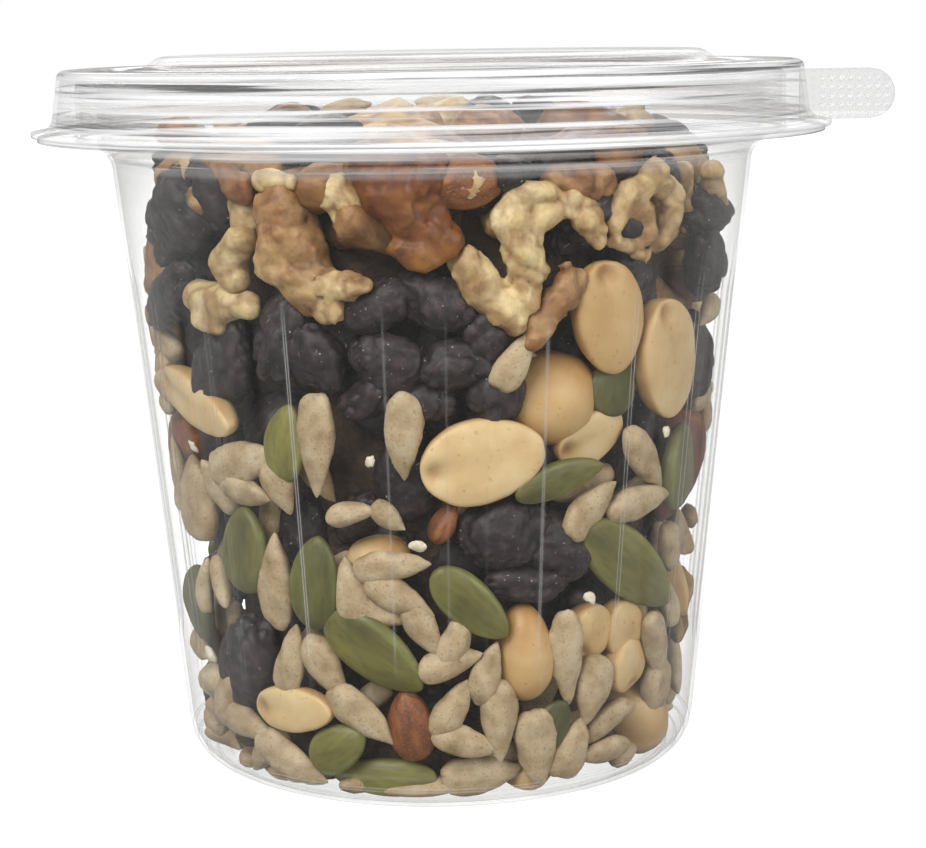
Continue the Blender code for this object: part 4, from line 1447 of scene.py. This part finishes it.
def walnut_look():
    """Tan skin over cream meat, with shade painted brown into the folds and hollows."""
    look = Shading("walnut", 0.5)
    skin = look.ramp(look.noise(0.5, 5), ((0.28, "#83572f"), (0.5, "#b3834f"), (0.72, "#c99d66")))
    meat = look.ramp(look.noise(0.3, 4), ((0.3, "#cdb37c"), (0.5, "#dfca93"), (0.72, "#ead9ab")))
    colour = look.mix(look.stored("flesh"), skin, meat)
    # Painted shade in the folds and hollows.
    colour = look.stain_and_shade(colour, "crevice_shade", 0.6, "#7a4d28")
    patches = look.ramp(look.noise(0.22, 3, (1, 1, 1), 0.8), ((0.38, "#b08a66"), (0.55, "#ffffff")))
    colour = look.darkened(colour, 0.6, patches)
    veins = look.ramp(look.noise(0.8, 4, (1, 1, 1), 1.5), ((0.36, "#96683c"), (0.46, "#ffffff")))
    colour = look.darkened(colour, 0.2, veins)
    look.bump(0.45, 0.0003, 1.1, 4)
    return look.finish(look.tinted(colour, "#a87c3c", "#ffffff"))


def raisin_look():
    """Nearly black purple, hazed grey on the ridges, partly bloom and partly painted sheen, with small white
    specks and scuffs.
    """
    look = Shading("raisin", 0.55)
    colour = look.ramp(look.noise(0.4, 4), ((0.3, "#1d1714"), (0.55, "#302727"), (0.75, "#472f30")))
    # Partly bloom and partly painted sheen: grey haze only on the ridges, so the folds stay dark as painted
    # shade.
    haze = look.ramp(look.noise(0.8, 5), ((0.45, 0.0), (0.75, 0.35)))
    haze = look.math("MULTIPLY", haze, look.stored("flesh"))
    colour = look.mix(haze, colour, "#77706f")
    specks = look.ramp(look.noise(1.9, 2), ((0.72, 0.0), (0.75, 0.9)))
    colour = look.mix(specks, colour, "#ddd8d0")
    scuffs = look.ramp(look.noise(1.0, 2, (0.35, 1.5, 1.5), 0.6), ((0.71, 0.0), (0.76, 0.5)))
    colour = look.mix(scuffs, colour, "#b9b2ab")
    look.bump(0.5, 0.0003, 1.1, 4)
    return look.finish(look.tinted(colour, "#c0aaa6", "#ffffff"))


def shadow_core_look():
    """Painted shadow: the dark, rough mass deep between the pieces."""
    look = Shading("shadow_core", 0.8)
    colour = look.ramp(look.noise(0.25, 4), ((0.35, "#2c2018"), (0.65, "#5b4530")))
    look.bump(1.0, 0.002, 0.3, 4)
    return look.finish(colour)


def crumb_look():
    """Cream-white broken nut meat."""
    look = Shading("crumb", 0.6)
    colour = look.ramp(look.noise(0.8, 3), ((0.3, "#cdbf9f"), (0.5, "#e0d6bc"), (0.7, "#ece5d0")))
    look.bump(0.5, 0.00015, 3.0, 3)
    return look.finish(colour)


LOOKS = {"crumb": crumb_look, "sunflower": sunflower_look, "pumpkin": pumpkin_look, "almond": almond_look,
         "peanut": peanut_look, "walnut": walnut_look, "raisin": raisin_look}
# Each kind's piece name and look. Both peanuts share a look, and so do both walnuts.
PIECES = {"sunflower": ("sunflower_kernels", "sunflower"), "pumpkin": ("pumpkin_seeds", "pumpkin"),
          "almond": ("almonds", "almond"), "peanut_half": ("peanut_halves", "peanut"),
          "whole_peanut": ("whole_peanuts", "peanut"), "raisin": ("raisins", "raisin"),
          "walnut": ("walnuts", "walnut"), "hero_walnut": ("large_walnuts", "walnut"),
          "crumb": ("crumbs", "crumb")}


def core_mesh():
    """The heap's own core: a lump well inside the pieces that cover it, whose dark look is painted shadow.
    """
    outline = [(0, CORE_FLOOR)]
    for height in np.linspace(CORE_FLOOR, CORE_TOP, CORE_ROWS):
        low = max(0, 1 - (height - CORE_FLOOR) / CORE_FOOT)
        outline.append((wall_radius(height) - CORE_INSET + CORE_SPREAD * low, height))
    outline.append((0, CORE_TOP + 2 * MM))
    mesh = turned_sheet("shadow_core", np.array(outline), np.arange(0, 360, CORE_TURN), no_press)
    points = np.array([vert.co[:] for vert in mesh.vertices])
    points *= (1 + 0.04 * noise(points / (7 * MM), 31))[:, None]
    mesh.vertices.foreach_set("co", points.astype(np.float32).ravel())
    outward(mesh)
    return mesh


def add_food():
    """The trail mix: the things seen at the front, then all that lies round and among them."""
    dice = np.random.default_rng(SEED)
    batches = {kind: Batch(name) for kind, (name, _) in PIECES.items()}
    cover = Cover()
    add_hero_walnuts(batches, cover, dice)
    add_heroes(batches, cover, dice)
    add_corner(batches, cover, dice)
    add_fill(batches, cover, dice, WALL_PLAN, depth=0, spread=0.8 * MM, tight=0.84, detail=0.9)
    add_fill(batches, Cover(), dice, INNER_PLAN, depth=4.2 * MM, spread=2.5 * MM, tight=0.8, detail=0.6)
    add_level_layer(batches, dice, TOP_PLAN, top=True, lower=0, detail=0.7, tight=0.85)
    add_level_layer(batches, dice, UNDER_PLAN, top=True, lower=5 * MM, detail=0.55, tight=0.8)
    add_level_layer(batches, dice, BASE_PLAN, top=False, lower=0, detail=0.6, tight=0.85)
    add_fill(batches, cover, dice, GAP_PLAN, 0.6 * MM, 0.4 * MM, tight=0.62, detail=0.9, front_kinds=())
    looks = {name: make() for name, make in LOOKS.items()}
    # The core, dark as painted shadow between the pieces.
    add_piece(core_mesh(), shadow_core_look(), "trail_mix", ("trail_mix",))
    for kind, (_, look) in PIECES.items():
        add_piece(batches[kind].mesh(), looks[look], "trail_mix", ("trail_mix",))


def clear_sheet(name, haze, edge_on, bent, grey, streaked=()):
    """Thin clear sheet: greyer the more it is seen edge-on, a painted reflection, with pale lines at
    its bends and its flutes' edges, which are painted highlights.

    The shares say how much it hides: face-on, edge-on and at bends. Streaked sheet has painted
    reflections in dark and pale lines that run round it: how much they hide where it stands
    upright, and their dark and pale tones.
    """
    look = Shading(name, 0.12)
    # Painted reflection: the sheet hides more behind its grey the more it is seen edge-on.
    weight = look.nodes.new("ShaderNodeLayerWeight")
    weight.inputs["Blend"].default_value = 0.5
    facing = weight.outputs["Facing"]
    hidden = look.math("ADD", look.math("MULTIPLY", look.math("POWER", facing, 2.2), edge_on), haze)
    flute_line = look.math("MULTIPLY", look.stored("crease"), look.math("POWER", facing, 2.0))
    if not streaked:
        lines = look.math("ADD", flute_line, look.math("MULTIPLY", look.stored("bend"), bent))
        look.links.new(look.math("ADD", hidden, lines), look.shader.inputs["Alpha"])
        # Painted highlights: pale lines at the bends and at the flutes' edges.
        tone = look.mix(look.stored("bend"), grey, "#ffffff")
        return look.finish(look.mix(look.math("MULTIPLY", flute_line, 4.0), tone, "#ffffff"))
    share, dark, pale = streaked
    # Painted reflections: dark and pale streaks run round the sheet, and it hides more at its bends.
    ring_share = look.ramp(look.noise(1.0, 3, (0.025, 0.025, 0.9)), ((0.35, 0.3 * bent), (0.6, bent)))
    ring = look.math("MULTIPLY", look.stored("bend"), ring_share)
    streaks = look.ramp(look.noise(1.0, 2, (0.018, 0.018, 1.3)), ((0.56, 0.0), (0.62, share)))
    streaks = look.math("MULTIPLY", streaks, look.stored("upright"))
    hidden = look.math("ADD", look.math("ADD", hidden, ring), streaks)
    look.links.new(hidden, look.shader.inputs["Alpha"])
    stops = ((0.38, dark), (0.43, grey), (0.53, grey), (0.60, pale))
    return look.finish(look.ramp(look.noise(1.0, 2, (0.018, 0.018, 1.7)), stops))


def main():
    """Builds the whole scene."""
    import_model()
    set_view()
    add_camera()
    add_world()
    add_stage()
    for light in LIGHTS:
        add_area_light(*light)
    add_cup(clear_sheet("clear_wall", 0.016, 0.30, 0.25, HAZE_AND_REFLECTION_GREY),
            clear_sheet("clear_rim", 0.03, 0.14, 0.75, 0.75, REFLECTION_STREAKS))
    add_lid(clear_sheet("clear_lid", 0.035, 0.14, 0.75, 0.80, REFLECTION_STREAKS),
            clear_sheet("clear_tab", 0.22, 0.30, 0.75, HAZE_AND_REFLECTION_GREY))
    add_food()


main()
